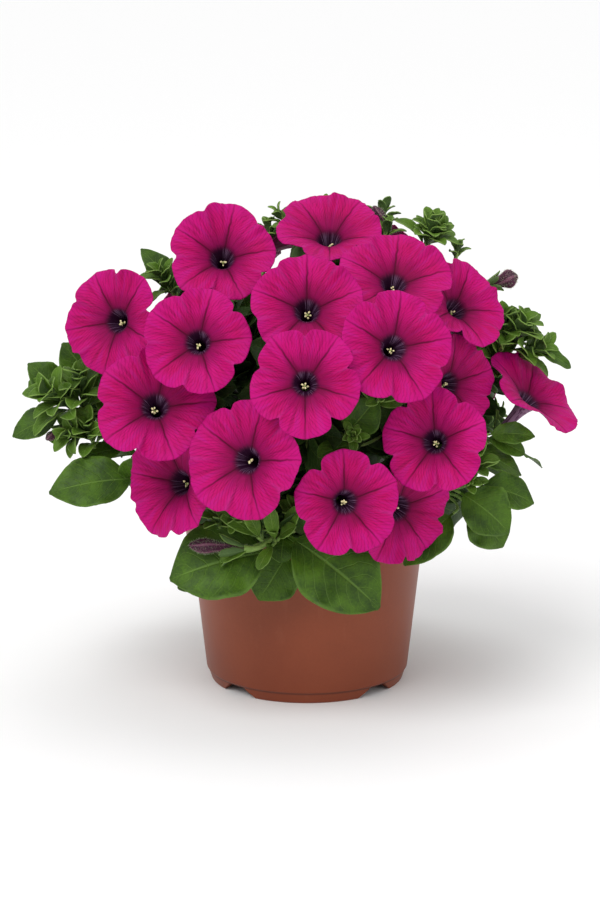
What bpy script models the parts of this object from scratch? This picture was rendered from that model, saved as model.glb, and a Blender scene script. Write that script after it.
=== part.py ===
"""A flowering petunia in a round plastic nursery pot. Z is up and -Y is the front.

Every place below is in millimetres from the foot of the pot's axis.
"""

import math
import random

import bmesh
import bpy
from mathutils import Vector

MM = 0.001

# The pot's axis stands off the origin by this much, so that the origin is under the whole plant's middle.
PLACE = Vector((6, 8, 0))

# Pot: a tapered cup with a straight-sided band at the rim, a raised floor and four feet.
POT_SIDES = 48
RIM_RADIUS = 70.0
RIM_HEIGHT = 97.0
BAND_BOTTOM = 80.0
BAND_BOTTOM_RADIUS = 66.9
WALL_TOP_RADIUS = 64.7
WALL_FOOT_RADIUS = 56.5
WALL_THICKNESS = 1.6
FOOT_HEIGHT = 6.0
FOOT_RADIUS = 53.8
FOOT_WIDTH = 2.6
FLOOR_THICKNESS = 1.6
NOTCH_BEARINGS = (45, 135, 225, 315)
NOTCH_TOP_WIDTH = 11.0
NOTCH_BOTTOM_WIDTH = 27.0

# Soil fills the pot to a little below the rim.
SOIL_HEIGHT = 84.5
SEAT_GAP = 0.35

# Plant sizes.
TUBE_LENGTH = 27.0
TUBE_FOOT_RADIUS = 1.9
THROAT_DEPTH = 14.0
LEAF_THICKNESS = 0.9
STEM_SIDES = 5
TWIG_SIDES = 4
CROWN_RADIUS = 7.0
CROWN_HEIGHT = 12.0

PLASTIC = (0.42, 0.115, 0.05, 1)
PEAT = (0.035, 0.02, 0.012, 1)
STEM_GREEN = (0.17, 0.3, 0.07, 1)
LEAF_GREEN = (0.065, 0.17, 0.028, 1)
TIP_GREEN = (0.11, 0.25, 0.05, 1)
MAGENTA = (0.56, 0.01, 0.19, 1)
BUD_PURPLE = (0.12, 0.03, 0.08, 1)

# Each flower: throat mouth x, y, z; bearing of its face from -Y toward +X; its rise above level;
# the width of its open limb; the turn of its first petal midrib; how far its rim stands forward of
# the mouth. Millimetres and degrees.
FLOWERS = (
    (-45, -52, 248, 0, 36, 57, 5, 8),
    (-102, -42, 212, -31, 17, 58, 54, 6),
    (-57, -92, 211, -8, 24, 57, 5, 5),
    (-80, -86, 175, -3, 32, 64, 3, 6),
    (-31, -114, 153, -24, 18, 63, 5, 6),
    (-67, -84, 133, -42, 12, 60, 35, 9),
    (-1, -118, 195, 0, 20, 58, 54, 5),
    (0, -88, 227, 0, 36, 59, 18, 7),
    (12, -8, 250, 0, 63, 58, 54, 10),
    (46, -57, 235, 11, 53, 61, 5, 7),
    (45, -101, 210, 16, 22, 60, 5, 5),
    (80, -43, 219, 43, 38, 54, 50, 9),
    (77, -54, 180, 45, 10, 54, 8, 6),
    (67, -98, 159, -9, 20, 56, 23, 6),
    (121, -27, 165, 67, 50, 60, 30, 7),
    (20, -116, 131, 12, 9, 56, 20, 5),
    (49, -88, 120, 37, -6, 60, 17, 6),
    (-60, 62, 190, -150, 25, 57, 12, 6),
    (-12, 90, 172, 180, 18, 59, 40, 6),
    (43, 80, 188, 160, 22, 57, 60, 5),
    (86, 42, 172, 118, 22, 58, 20, 6),
    (-92, 34, 160, -112, 20, 57, 48, 6),
    (-31, 52, 230, -165, 52, 56, 30, 7),
    (33, 46, 233, 162, 54, 57, 8, 8),
    (12, 104, 124, 175, 6, 58, 25, 5),
    (70, 82, 130, 142, 8, 57, 55, 6),
    (-60, 86, 132, -146, 8, 58, 5, 5),
)

# Each leaf: foot of its stalk x, y, z; tip x, y, z; width; the way its upper face looks; rise of its back.
LEAVES = (
    ((-10, -84, 104), (39, -94, 67), 46, (0.15, -0.9, 0.45), 6),
    ((-19, -84, 95), (-73, -92, 82), 45, (-0.1, -0.8, 0.55), 6),
    ((-10, -74, 92), (-26, -77, 66), 29, (0.1, -0.95, 0.2), 2),
    ((-92, -52, 127), (-139, -59, 121), 31, (-0.1, -0.75, 0.65), 4),
    ((-134, -28, 157), (-161, -29, 145), 18, (-0.3, -0.75, 0.6), 2),
    ((-133, -23, 164), (-152, -20, 184), 21, (0.5, -0.7, 0.5), 2),
    ((-114, -12, 163), (-134, -10, 193), 28, (0.4, -0.8, 0.4), 3),
    ((-71, -18, 222), (-90, -12, 246), 16, (0.4, -0.7, 0.5), 2),
    ((82, -62, 122), (109, -67, 101), 29, (0.2, -0.85, 0.5), 4),
    ((93, -54, 124), (123, -51, 113), 22, (0.1, -0.7, 0.7), 3),
    ((87, -50, 112), (107, -50, 88), 26, (0.2, -0.9, 0.3), 4),
    ((79, -60, 110), (52, -74, 85), 25, (-0.2, -0.85, 0.5), 4),
    ((88, -43, 141), (117, -39, 126), 17, (0.3, -0.5, 0.8), 2),
    ((98, -45, 150), (123, -49, 150), 14, (0.0, -0.7, 0.7), 2),
    ((20, -86, 160), (37, -87, 180), 21, (0.3, -0.8, 0.4), 3),
    ((-92, 20, 122), (-132, 30, 108), 28, (-0.4, 0.1, 0.9), 5),
    ((-34, 82, 106), (-54, 118, 82), 33, (-0.2, 0.75, 0.6), 6),
    ((34, 80, 101), (54, 116, 78), 35, (0.2, 0.75, 0.6), 6),
    ((94, 30, 124), (134, 40, 110), 29, (0.4, 0.1, 0.9), 5),
    ((2, 60, 214), (4, 94, 222), 20, (0.0, -0.3, 0.95), 3),
)

# Each leafy shoot tip: foot x, y, z; the way it points; its length; how many young leaves it carries.
SHOOT_TIPS = (
    ((-127, -30, 160), (-0.55, -0.45, 0.55), 32, 9),
    ((109, -6, 187), (0.4, -0.3, 0.85), 33, 9),
    ((64, -8, 246), (0.25, -0.3, 0.9), 25, 8),
    ((24, -90, 160), (0.0, -0.95, 0.35), 12, 5),
    ((-37, -84, 112), (-0.2, -0.7, 0.6), 15, 7),
    ((86, -58, 126), (0.1, -0.8, 0.5), 13, 6),
)

# Each bud: foot x, y, z; the way it points; length; greatest width.
BUDS = (
    ((-33, -92, 99), (-0.98, -0.18, 0.12), 30, 8),
    ((97, -20, 227), (0.93, -0.1, 0.3), 18, 10),
    ((44, 9, 246), (-0.35, -0.02, 0.93), 21, 8),
)

# Main shoots, each as points along it from the crown outward.
SHOOTS = (
    ((0, -2, 90), (-2, -34, 112), (0, -58, 138), (0, -64, 170), (0, -58, 190)),
    ((-2, -2, 90), (-30, -30, 110), (-50, -44, 135), (-58, -48, 165), (-54, -46, 190)),
    ((-3, 0, 90), (-44, -8, 116), (-80, -14, 140), (-106, -20, 152)),
    ((-2, 0, 92), (-18, -4, 135), (-38, -8, 180), (-58, -12, 208)),
    ((1, 0, 92), (8, 4, 135), (22, 2, 185), (44, -2, 220)),
    ((3, 0, 90), (38, -3, 118), (72, -5, 150), (94, -4, 172)),
    ((2, -2, 90), (28, -28, 110), (46, -38, 135), (48, -42, 165), (36, -44, 185)),
    ((3, -3, 90), (36, -34, 104), (62, -46, 112), (76, -50, 118)),
    ((-4, -4, 90), (-5, -40, 100), (-8, -70, 104), (-15, -79, 101)),
    ((-2, 2, 90), (-34, 34, 112), (-54, 46, 140), (-52, 42, 172)),
    ((2, 2, 90), (34, 36, 112), (54, 44, 140), (54, 40, 172)),
    ((0, 3, 90), (-2, 36, 112), (0, 56, 140), (4, 50, 175), (0, 40, 200)),
)


def clear_scene():
    for item in list(bpy.data.objects):
        bpy.data.objects.remove(item, do_unlink=True)


def material(name, colour, roughness):
    made = bpy.data.materials.new(name)
    made.use_nodes = True
    shader = made.node_tree.nodes["Principled BSDF"]
    shader.inputs["Base Color"].default_value = colour
    shader.inputs["Roughness"].default_value = roughness
    shader.inputs["Metallic"].default_value = 0.0
    made.diffuse_color = colour
    return made


def add_object(name, points, faces, colour, roughness, smooth=True):
    """Adds one closed solid from points in millimetres, its faces turned outward."""
    mesh = bpy.data.meshes.new(name)
    mesh.from_pydata([tuple((Vector(point) + PLACE) * MM) for point in points], [], faces)
    shape = bmesh.new()
    shape.from_mesh(mesh)
    bmesh.ops.triangulate(shape, faces=shape.faces)
    bmesh.ops.recalc_face_normals(shape, faces=shape.faces)
    shape.to_mesh(mesh)
    shape.free()
    for polygon in mesh.polygons:
        polygon.use_smooth = smooth
    thing = bpy.data.objects.new(name, mesh)
    thing.data.materials.append(material(name + "_material", colour, roughness))
    bpy.context.scene.collection.objects.link(thing)
    return thing


def bridge(first, second):
    """Faces between two closed rows of point numbers; the second may have twice as many."""
    count = len(first)
    faces = []
    for place in range(count):
        after = (place + 1) % count
        if len(second) == count:
            faces.append((first[place], first[after], second[after], second[place]))
            continue
        near = second[2 * place]
        middle = second[2 * place + 1]
        far = second[(2 * place + 2) % len(second)]
        faces.append((first[place], middle, near))
        faces.append((first[place], first[after], middle))
        faces.append((first[after], far, middle))
    return faces


def loft(rows):
    """Points and faces of a solid run through closed rows of points, flat at both ends."""
    points = []
    numbered = []
    for row in rows:
        numbered.append(list(range(len(points), len(points) + len(row))))
        points.extend(row)
    faces = [tuple(numbered[0]), tuple(numbered[-1])]
    for first, second in zip(numbered, numbered[1:]):
        if len(first) > len(second):
            faces.extend(bridge(second, first))
        else:
            faces.extend(bridge(first, second))
    return points, faces


def merged(solids):
    """The points and faces of several solids as one list each."""
    points = []
    faces = []
    for part_points, part_faces in solids:
        start = len(points)
        points.extend(part_points)
        faces.extend(tuple(start + index for index in face) for face in part_faces)
    return points, faces


def unite(body, helper):
    """Joins the overlapping solids inside one object, and a helper solid, into one skin."""
    helper.hide_render = True
    helper.display_type = "WIRE"
    joint = body.modifiers.new("union", "BOOLEAN")
    joint.operation = "UNION"
    joint.solver = "EXACT"
    joint.use_self = True
    joint.object = helper


def across(direction):
    """Two unit vectors square to a direction: the first level, the second as far up as it goes."""
    forward = Vector(direction).normalized()
    side = Vector((0, 0, 1)).cross(forward)
    if side.length < 0.01:
        side = Vector((1, 0, 0))
    side.normalize()
    return side, forward.cross(side)


def ring(centre, side, rise, wide, high, count, turn=0.0):
    """Points of an ellipse round a centre."""
    row = []
    for step in range(count):
        angle = turn + 2 * math.pi * step / count
        row.append(centre + side * (wide * math.cos(angle)) + rise * (high * math.sin(angle)))
    return row


def tube(path, radii, sides=STEM_SIDES):
    """A round bar along a path, as points and faces."""
    side, rise = across(path[1] - path[0])
    rows = []
    for place, (point, radius) in enumerate(zip(path, radii)):
        before = path[max(0, place - 1)]
        after = path[min(len(path) - 1, place + 1)]
        forward = (after - before).normalized()
        side = (side - forward * side.dot(forward)).normalized()
        rise = forward.cross(side)
        rows.append(ring(point, side, rise, radius, radius, sides))
    return loft(rows)


def bezier(first, second, third, fourth, steps):
    """Points along a cubic curve."""
    points = []
    for step in range(steps + 1):
        part = step / steps
        rest = 1 - part
        points.append(
            first * rest**3
            + second * (3 * part * rest**2)
            + third * (3 * part**2 * rest)
            + fourth * part**3
        )
    return points


def smooth_path(stations, steps):
    """Points along a rounded line through stations."""
    points = []
    last = len(stations) - 1
    for place in range(last):
        here = stations[place]
        there = stations[place + 1]
        lead = (there - stations[max(0, place - 1)]) / 6
        trail = (stations[min(last, place + 2)] - here) / 6
        points.extend(bezier(here, here + lead, there - trail, there, steps)[:-1])
    points.append(stations[last])
    return points


def facing(bearing, rise):
    """The unit vector at a bearing from -Y toward +X, raised above level."""
    turn = math.radians(bearing)
    lift = math.radians(rise)
    return Vector(
        (math.sin(turn) * math.cos(lift), -math.cos(turn) * math.cos(lift), math.sin(lift))
    )


def wall_radius(height):
    """Outer radius of the pot's tapered wall at a height."""
    part = (height - FOOT_HEIGHT) / (BAND_BOTTOM - FOOT_HEIGHT)
    return WALL_FOOT_RADIUS + (WALL_TOP_RADIUS - WALL_FOOT_RADIUS) * part


def turned(profile, sides):
    """A solid turned about Z from a closed or axis-ended outline of radius and height."""
    points = []
    rows = []
    for radius, height in profile:
        if radius == 0:
            rows.append([len(points)])
            points.append((0, 0, height))
            continue
        rows.append(list(range(len(points), len(points) + sides)))
        for step in range(sides):
            angle = 2 * math.pi * step / sides
            points.append((radius * math.cos(angle), radius * math.sin(angle), height))
    faces = []
    for first, second in zip(rows, rows[1:]):
        for step in range(sides):
            after = (step + 1) % sides
            if len(first) == 1:
                faces.append((first[0], second[step], second[after]))
            elif len(second) == 1:
                faces.append((first[step], second[0], first[after]))
            else:
                faces.append((first[step], second[step], second[after], first[after]))
    return points, faces


def pot_profile():
    floor_top = FOOT_HEIGHT + FLOOR_THICKNESS
    inside = WALL_THICKNESS
    foot_inner = FOOT_RADIUS - FOOT_WIDTH
    return [
        (0, FOOT_HEIGHT),
        (foot_inner, FOOT_HEIGHT),
        (foot_inner, 0),
        (FOOT_RADIUS, 0),
        (WALL_FOOT_RADIUS - 1.1, FOOT_HEIGHT - 1.0),
        (WALL_FOOT_RADIUS - 0.7, FOOT_HEIGHT),
        (WALL_FOOT_RADIUS, FOOT_HEIGHT + 0.7),
        (WALL_TOP_RADIUS, BAND_BOTTOM),
        (BAND_BOTTOM_RADIUS - 0.6, BAND_BOTTOM),
        (BAND_BOTTOM_RADIUS, BAND_BOTTOM + 0.6),
        (RIM_RADIUS, RIM_HEIGHT - 1.0),
        (RIM_RADIUS - 0.5, RIM_HEIGHT),
        (RIM_RADIUS - 1.4, RIM_HEIGHT),
        (RIM_RADIUS - 1.9, RIM_HEIGHT - 0.8),
        (BAND_BOTTOM_RADIUS - inside, BAND_BOTTOM + 2.0),
        (WALL_TOP_RADIUS - inside, BAND_BOTTOM - 1.0),
        (wall_radius(floor_top) - inside, floor_top),
        (0, floor_top),
    ]


def notch(bearing):
    """A sloped-sided block that cuts one gap between two feet."""
    half_top = NOTCH_TOP_WIDTH / 2
    half_bottom = NOTCH_BOTTOM_WIDTH / 2
    outline = [
        (-half_bottom - 0.4, -1.0),
        (-half_top - 1.2, FOOT_HEIGHT - 1.4),
        (-half_top, FOOT_HEIGHT - 0.4),
        (half_top, FOOT_HEIGHT - 0.4),
        (half_top + 1.2, FOOT_HEIGHT - 1.4),
        (half_bottom + 0.4, -1.0),
    ]
    turn = math.radians(bearing)
    out = Vector((math.cos(turn), math.sin(turn), 0))
    along = Vector((-math.sin(turn), math.cos(turn), 0))
    rows = []
    for reach in (FOOT_RADIUS - 10, FOOT_RADIUS + 10):
        rows.append([out * reach + along * x + Vector((0, 0, z)) for x, z in outline])
    return loft(rows)


def make_pot():
    points, faces = turned(pot_profile(), POT_SIDES)
    pot = add_object("pot", points, faces, PLASTIC, 0.42)
    points, faces = merged([notch(bearing) for bearing in NOTCH_BEARINGS])
    cutter = add_object("foot_gap_cutter", points, faces, PLASTIC, 0.42, smooth=False)
    cutter.hide_render = True
    cutter.display_type = "WIRE"
    cut = pot.modifiers.new("foot_gaps", "BOOLEAN")
    cut.operation = "DIFFERENCE"
    cut.solver = "EXACT"
    cut.object = cutter


def make_soil():
    floor_top = FOOT_HEIGHT + FLOOR_THICKNESS
    clear = WALL_THICKNESS + SEAT_GAP
    profile = [
        (0, floor_top + SEAT_GAP),
        (wall_radius(floor_top) - clear, floor_top + SEAT_GAP),
        (WALL_TOP_RADIUS - clear, BAND_BOTTOM - 1.0),
        (BAND_BOTTOM_RADIUS - clear, BAND_BOTTOM + 2.0),
        (BAND_BOTTOM_RADIUS - clear - 0.6, SOIL_HEIGHT - 0.8),
        (BAND_BOTTOM_RADIUS - clear - 4.0, SOIL_HEIGHT),
        (30, SOIL_HEIGHT + 0.6),
        (0, SOIL_HEIGHT + 0.8),
    ]
    points, faces = turned(profile, POT_SIDES)
    add_object("soil", points, faces, PEAT, 0.95)


def corolla(mouth, forward, width, turn, cup, seed):
    """A five-lobed trumpet flower: a slim tube that opens into a ruffled limb round a blind throat."""
    rng = random.Random(seed)
    side, rise = across(forward)
    scale = width / 56
    start = math.radians(turn)

    def row(radius, height, count, lobed=0.0):
        line = []
        for step in range(count):
            angle = start + 2 * math.pi * step / count
            place = step % 4
            reach = radius
            lift = height
            if lobed and place == 2:
                reach = radius * (1 - 0.11 * lobed)
                lift = height + 1.1 * lobed
            elif lobed and place in (1, 3):
                reach = radius * (1 - 0.012 * lobed)
                lift = height + ruffles[step] * lobed
            flat = side * math.cos(angle) + rise * math.sin(angle)
            line.append(mouth + flat * (reach * scale) + forward * (lift * scale))
        return line

    ruffles = [rng.uniform(-0.7, 0.7) for _ in range(20)]
    return loft(
        [
            row(TUBE_FOOT_RADIUS / scale, -TUBE_LENGTH, 10),
            row(3.0, -15, 10),
            row(6.6, -3.0, 10),
            row(15, 0.45 * cup - 0.4, 20, 0.25),
            row(28, cup - 0.6, 20, 1.0),
            row(27.6, cup + 0.2, 20, 1.0),
            row(14.6, 0.45 * cup + 0.7, 20, 0.25),
            row(5.4, -2.2, 10),
            row(2.0, -THROAT_DEPTH, 10),
        ]
    )


def leaf(foot, tip, width, upper, arch):
    """A blade on a short stalk, keeled along its midrib and bowed toward its upper face."""
    foot = Vector(foot)
    run = Vector(tip) - foot
    upper = Vector(upper)
    upper = (upper - run * (upper.dot(run) / run.length_squared)).normalized()
    side = run.cross(upper).normalized()
    rows = []
    stations = (
        (0.0, 0.0),
        (0.09, 0.0),
        (0.2, 0.62),
        (0.38, 0.98),
        (0.58, 0.94),
        (0.78, 0.62),
        (0.92, 0.28),
        (1.0, 0.0),
    )
    for part, share in stations:
        half = max(0.7, share * width / 2)
        bow = arch * (1 - (2 * part - 1) ** 2)
        centre = foot + run * part + upper * bow
        slope = (run + upper * (arch * 4 * (1 - 2 * part))).normalized()
        normal = side.cross(slope)
        keel = normal * (0.14 * half if share else 0)
        half_thick = normal * (LEAF_THICKNESS / 2)
        left = centre - side * half + keel
        right = centre + side * half + keel
        rows.append(
            [
                left + half_thick,
                centre + half_thick,
                right + half_thick,
                right - half_thick,
                centre - half_thick,
                left - half_thick,
            ]
        )
    start = (run + upper * (arch * 4)).normalized()
    return loft(rows), start


def young_leaf(foot, direction, upper, length, width):
    """A small pointed blade with a lens-shaped section."""
    forward = direction.normalized()
    upper = (upper - forward * upper.dot(forward)).normalized()
    side = forward.cross(upper)
    rows = []
    for part, share, lift in ((0, 0.3, 0), (0.35, 0.95, 0.06), (0.7, 0.75, 0.06), (1, 0.1, -0.02)):
        centre = foot + forward * (length * part) + upper * (length * lift)
        half = width / 2 * share
        rows.append([centre - side * half, centre + upper * 0.5, centre + side * half, centre - upper * 0.5])
    return loft(rows)


def shoot_tip(foot, direction, length, count, seed):
    """Blades and core of a growing tip, its young leaves spiralling out from a short stalk."""
    rng = random.Random(seed)
    forward = Vector(direction).normalized()
    side, rise = across(forward)
    foot = Vector(foot)
    core = tube([foot, foot + forward * (length * 0.35), foot + forward * (length * 0.62)], [1.2, 1.1, 0.8])
    blades = []
    for number in range(count):
        part = number / (count - 1)
        angle = math.radians(137.5 * number + rng.uniform(-12, 12))
        out = side * math.cos(angle) + rise * math.sin(angle)
        lean = 1.05 - 0.75 * part
        heading = out * math.sin(lean) + forward * math.cos(lean)
        start = foot + forward * (length * (0.16 + 0.42 * part))
        reach = length * (0.75 - 0.25 * part)
        blades.append(young_leaf(start, heading, forward - out * 0.4, reach, reach * 0.42))
    return core, blades


def bud(foot, direction, length, width):
    """A furled flower bud: a slim spindle."""
    forward = Vector(direction).normalized()
    side, rise = across(forward)
    rows = []
    for part, share in ((0, 0.36), (0.18, 0.6), (0.45, 0.68), (0.72, 1.0), (0.9, 0.8), (1, 0.25)):
        centre = Vector(foot) + forward * (length * part)
        rows.append(ring(centre, side, rise, share * width / 2, share * width / 2, 8))
    return loft(rows)


def shoot_paths():
    return [smooth_path([Vector(point) for point in shoot], 2) for shoot in SHOOTS]


def twig(paths, foot, direction, radius, end_radius):
    """A stalk from the nearest main shoot to just short of a piece's foot, met head on."""
    forward = direction.normalized()
    end = foot - forward * SEAT_GAP
    aim = end - forward * 16
    spots = [point for path in paths for point in path[1:-1]]
    spots.extend(path[-1].lerp(path[-2], 0.35) for path in paths)
    start = min(spots, key=lambda spot: (spot - aim).length + 0.3 * max(0.0, spot.z - end.z))
    reach = (end - start).length
    lift = Vector((0, 0, 0.2 * reach))
    neck = end - forward * 2.5
    path = bezier(start, start + (neck - start) * 0.25 + lift, neck - forward * (0.4 * reach), neck, 4)
    radii = [radius * 0.9] * 2 + [radius] * 2 + [0.5 * (radius + end_radius), end_radius]
    return tube(path + [end], radii, TWIG_SIDES)


def make_plant():
    paths = shoot_paths()
    bars = []
    for path in paths:
        last = len(path) - 1
        bars.append(tube(path, [2.5 - 1.0 * place / last for place in range(last + 1)]))
    for number, (x, y, z, bearing, rise, width, turn, cup) in enumerate(FLOWERS, 1):
        forward = facing(bearing, rise)
        mouth = Vector((x, y, z))
        solid = corolla(mouth, forward, width, turn, cup, number)
        add_object(f"corolla_{number:02d}", *solid, MAGENTA, 0.5)
        foot = mouth - forward * (TUBE_LENGTH * width / 56)
        bars.append(twig(paths, foot, forward, 0.9, 1.9))
    for number, (foot, tip, width, upper, arch) in enumerate(LEAVES, 1):
        solid, start = leaf(foot, tip, width, upper, arch)
        add_object(f"leaf_{number:02d}", *solid, LEAF_GREEN, 0.6)
        bars.append(twig(paths, Vector(foot), start, 0.85, 0.75))
    for number, (foot, direction, length, count) in enumerate(SHOOT_TIPS, 1):
        core, blades = shoot_tip(foot, direction, length, count, 40 + number)
        solid = merged(blades)
        tuft = add_object(f"shoot_tip_{number}", *solid, TIP_GREEN, 0.6)
        helper = add_object(f"shoot_tip_core_{number}", *core, TIP_GREEN, 0.6)
        unite(tuft, helper)
        bars.append(twig(paths, Vector(foot), Vector(direction), 1.0, 1.1))
    for number, (foot, direction, length, width) in enumerate(BUDS, 1):
        add_object(f"bud_{number}", *bud(foot, direction, length, width), BUD_PURPLE, 0.6)
        bars.append(twig(paths, Vector(foot), Vector(direction), 0.9, 1.3))
    stems = add_object("stems", *merged(bars), STEM_GREEN, 0.6)
    base = SOIL_HEIGHT + 0.8 + SEAT_GAP
    crown = tube(
        [
            Vector((0, 0, base)),
            Vector((0, 0, base + 0.4 * CROWN_HEIGHT)),
            Vector((0, 0, base + CROWN_HEIGHT)),
        ],
        [CROWN_RADIUS, CROWN_RADIUS * 0.8, CROWN_RADIUS * 0.5],
        10,
    )
    helper = add_object("crown", *crown, STEM_GREEN, 0.6)
    unite(stems, helper)


clear_scene()
make_pot()
make_soil()
make_plant()
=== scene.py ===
"""Looks of a flowering petunia in a round nursery pot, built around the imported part."""

import math
import random

import bpy
from mathutils import Matrix, Vector, noise
from mathutils.bvhtree import BVHTree


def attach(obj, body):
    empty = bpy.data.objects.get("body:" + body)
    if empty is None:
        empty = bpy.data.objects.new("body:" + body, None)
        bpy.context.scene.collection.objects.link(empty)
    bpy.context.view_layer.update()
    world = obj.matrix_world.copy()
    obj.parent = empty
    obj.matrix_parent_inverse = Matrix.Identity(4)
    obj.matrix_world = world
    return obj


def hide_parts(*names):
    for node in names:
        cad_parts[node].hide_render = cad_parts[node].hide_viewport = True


MM = 0.001
TURN = 2 * math.pi

# The pot's axis stands this far from the origin, in millimetres.
PLACE = Vector((6, 8, 0))

POT_SIDES = 144
RIM_RADIUS = 70.0
RIM_HEIGHT = 97.0
BAND_BOTTOM = 80.0
BAND_BOTTOM_RADIUS = 66.9
WALL_TOP_RADIUS = 64.7
WALL_FOOT_RADIUS = 56.5
WALL_THICKNESS = 1.6
FOOT_HEIGHT = 6.0
FOOT_RADIUS = 53.8
FOOT_WIDTH = 2.6
FLOOR_THICKNESS = 1.6
NOTCH_BEARINGS = (45, 135, 225, 315)
NOTCH_TOP_WIDTH = 11.0
NOTCH_BOTTOM_WIDTH = 27.0
SOIL_HEIGHT = 84.5
SOIL_SIDES = 96
SEAT_GAP = 0.35

# The tube's length and the stand of the rim are those of a flower of the usual width.
TUBE_LENGTH = 27.0
USUAL_WIDTH = 56.0

# Thicknesses of the thin sheets, in metres.
PETAL_SHEET = 0.0004
LEAF_SHEET = 0.0005
YOUNG_LEAF_SHEET = 0.0006

# The turn from one leaf to the next up a shoot in degrees, and between spread directions in radians.
LEAF_TURN = 137.5
SPREAD_TURN = 2.399963

# The camera: its place and what it looks at in millimetres, its focal length in millimetres on a frame
# 36 mm high, and how far its view is moved sideways, as a share of the frame's height.
CAMERA_PLACE = (0, -1750, 568.6)
CAMERA_AIM = (0, 0, 130)
CAMERA_FRAME = 36.0
CAMERA_LENGTH = 129.9
CAMERA_SHIFT = -7 / 900

# Each flower: throat mouth x, y, z; bearing of its face from -Y toward +X; its rise above level;
# the width of its open limb; the turn of its first petal midrib; how far its rim stands forward of
# the mouth. Millimetres and degrees.
FLOWERS = (
    (-45, -52, 248, 0, 36, 57, 5, 8),
    (-102, -42, 212, -31, 17, 58, 54, 6),
    (-57, -92, 211, -8, 24, 57, 5, 5),
    (-80, -86, 175, -3, 32, 64, 3, 6),
    (-31, -114, 153, -24, 18, 63, 5, 6),
    (-67, -84, 133, -42, 12, 60, 35, 9),
    (-1, -118, 195, 0, 20, 58, 54, 5),
    (0, -88, 227, 0, 36, 59, 18, 7),
    (12, -8, 250, 0, 63, 58, 54, 10),
    (46, -57, 235, 11, 53, 61, 5, 7),
    (45, -101, 210, 16, 22, 60, 5, 5),
    (80, -43, 219, 43, 38, 54, 50, 9),
    (77, -54, 180, 45, 10, 54, 8, 6),
    (67, -98, 159, -9, 20, 56, 23, 6),
    (121, -27, 165, 67, 50, 60, 30, 7),
    (20, -116, 131, 12, 9, 56, 20, 5),
    (49, -88, 120, 37, -6, 60, 17, 6),
    (-60, 62, 190, -150, 25, 57, 12, 6),
    (-12, 90, 172, 180, 18, 59, 40, 6),
    (43, 80, 188, 160, 22, 57, 60, 5),
    (86, 42, 172, 118, 22, 58, 20, 6),
    (-92, 34, 160, -112, 20, 57, 48, 6),
    (-31, 52, 230, -165, 52, 56, 30, 7),
    (33, 46, 233, 162, 54, 57, 8, 8),
    (12, 104, 124, 175, 6, 58, 25, 5),
    (70, 82, 130, 142, 8, 57, 55, 6),
    (-60, 86, 132, -146, 8, 58, 5, 5),
)

# Each leaf: foot of its stalk x, y, z; tip x, y, z; width; the way its upper face looks; rise of its back.
LEAVES = (
    ((-10, -84, 104), (39, -94, 67), 46, (0.15, -0.9, 0.45), 6),
    ((-19, -84, 95), (-73, -92, 82), 45, (-0.1, -0.8, 0.55), 6),
    ((-10, -74, 92), (-26, -77, 66), 29, (0.1, -0.95, 0.2), 2),
    ((-92, -52, 127), (-139, -59, 121), 31, (-0.1, -0.75, 0.65), 4),
    ((-134, -28, 157), (-161, -29, 145), 18, (-0.3, -0.75, 0.6), 2),
    ((-133, -23, 164), (-152, -20, 184), 21, (0.5, -0.7, 0.5), 2),
    ((-114, -12, 163), (-134, -10, 193), 28, (0.4, -0.8, 0.4), 3),
    ((-71, -18, 222), (-90, -12, 246), 16, (0.4, -0.7, 0.5), 2),
    ((82, -62, 122), (109, -67, 101), 29, (0.2, -0.85, 0.5), 4),
    ((93, -54, 124), (123, -51, 113), 22, (0.1, -0.7, 0.7), 3),
    ((87, -50, 112), (107, -50, 88), 26, (0.2, -0.9, 0.3), 4),
    ((79, -60, 110), (52, -74, 85), 25, (-0.2, -0.85, 0.5), 4),
    ((88, -43, 141), (117, -39, 126), 17, (0.3, -0.5, 0.8), 2),
    ((98, -45, 150), (123, -49, 150), 14, (0.0, -0.7, 0.7), 2),
    ((20, -86, 160), (37, -87, 180), 21, (0.3, -0.8, 0.4), 3),
    ((-92, 20, 122), (-132, 30, 108), 28, (-0.4, 0.1, 0.9), 5),
    ((-34, 82, 106), (-54, 118, 82), 33, (-0.2, 0.75, 0.6), 6),
    ((34, 80, 101), (54, 116, 78), 35, (0.2, 0.75, 0.6), 6),
    ((94, 30, 124), (134, 40, 110), 29, (0.4, 0.1, 0.9), 5),
    ((2, 60, 214), (4, 94, 222), 20, (0.0, -0.3, 0.95), 3),
)

# Each leafy shoot tip: foot x, y, z; the way it points; its length; how many young leaves it carries.
SHOOT_TIPS = (
    ((-127, -30, 160), (-0.55, -0.45, 0.55), 32, 13),
    ((109, -6, 187), (0.4, -0.3, 0.85), 33, 16),
    ((64, -8, 246), (0.25, -0.3, 0.9), 25, 14),
    ((24, -90, 160), (0.0, -0.95, 0.35), 12, 8),
    ((-37, -84, 112), (-0.2, -0.7, 0.6), 15, 9),
    ((86, -58, 126), (0.1, -0.8, 0.5), 13, 9),
)

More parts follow.
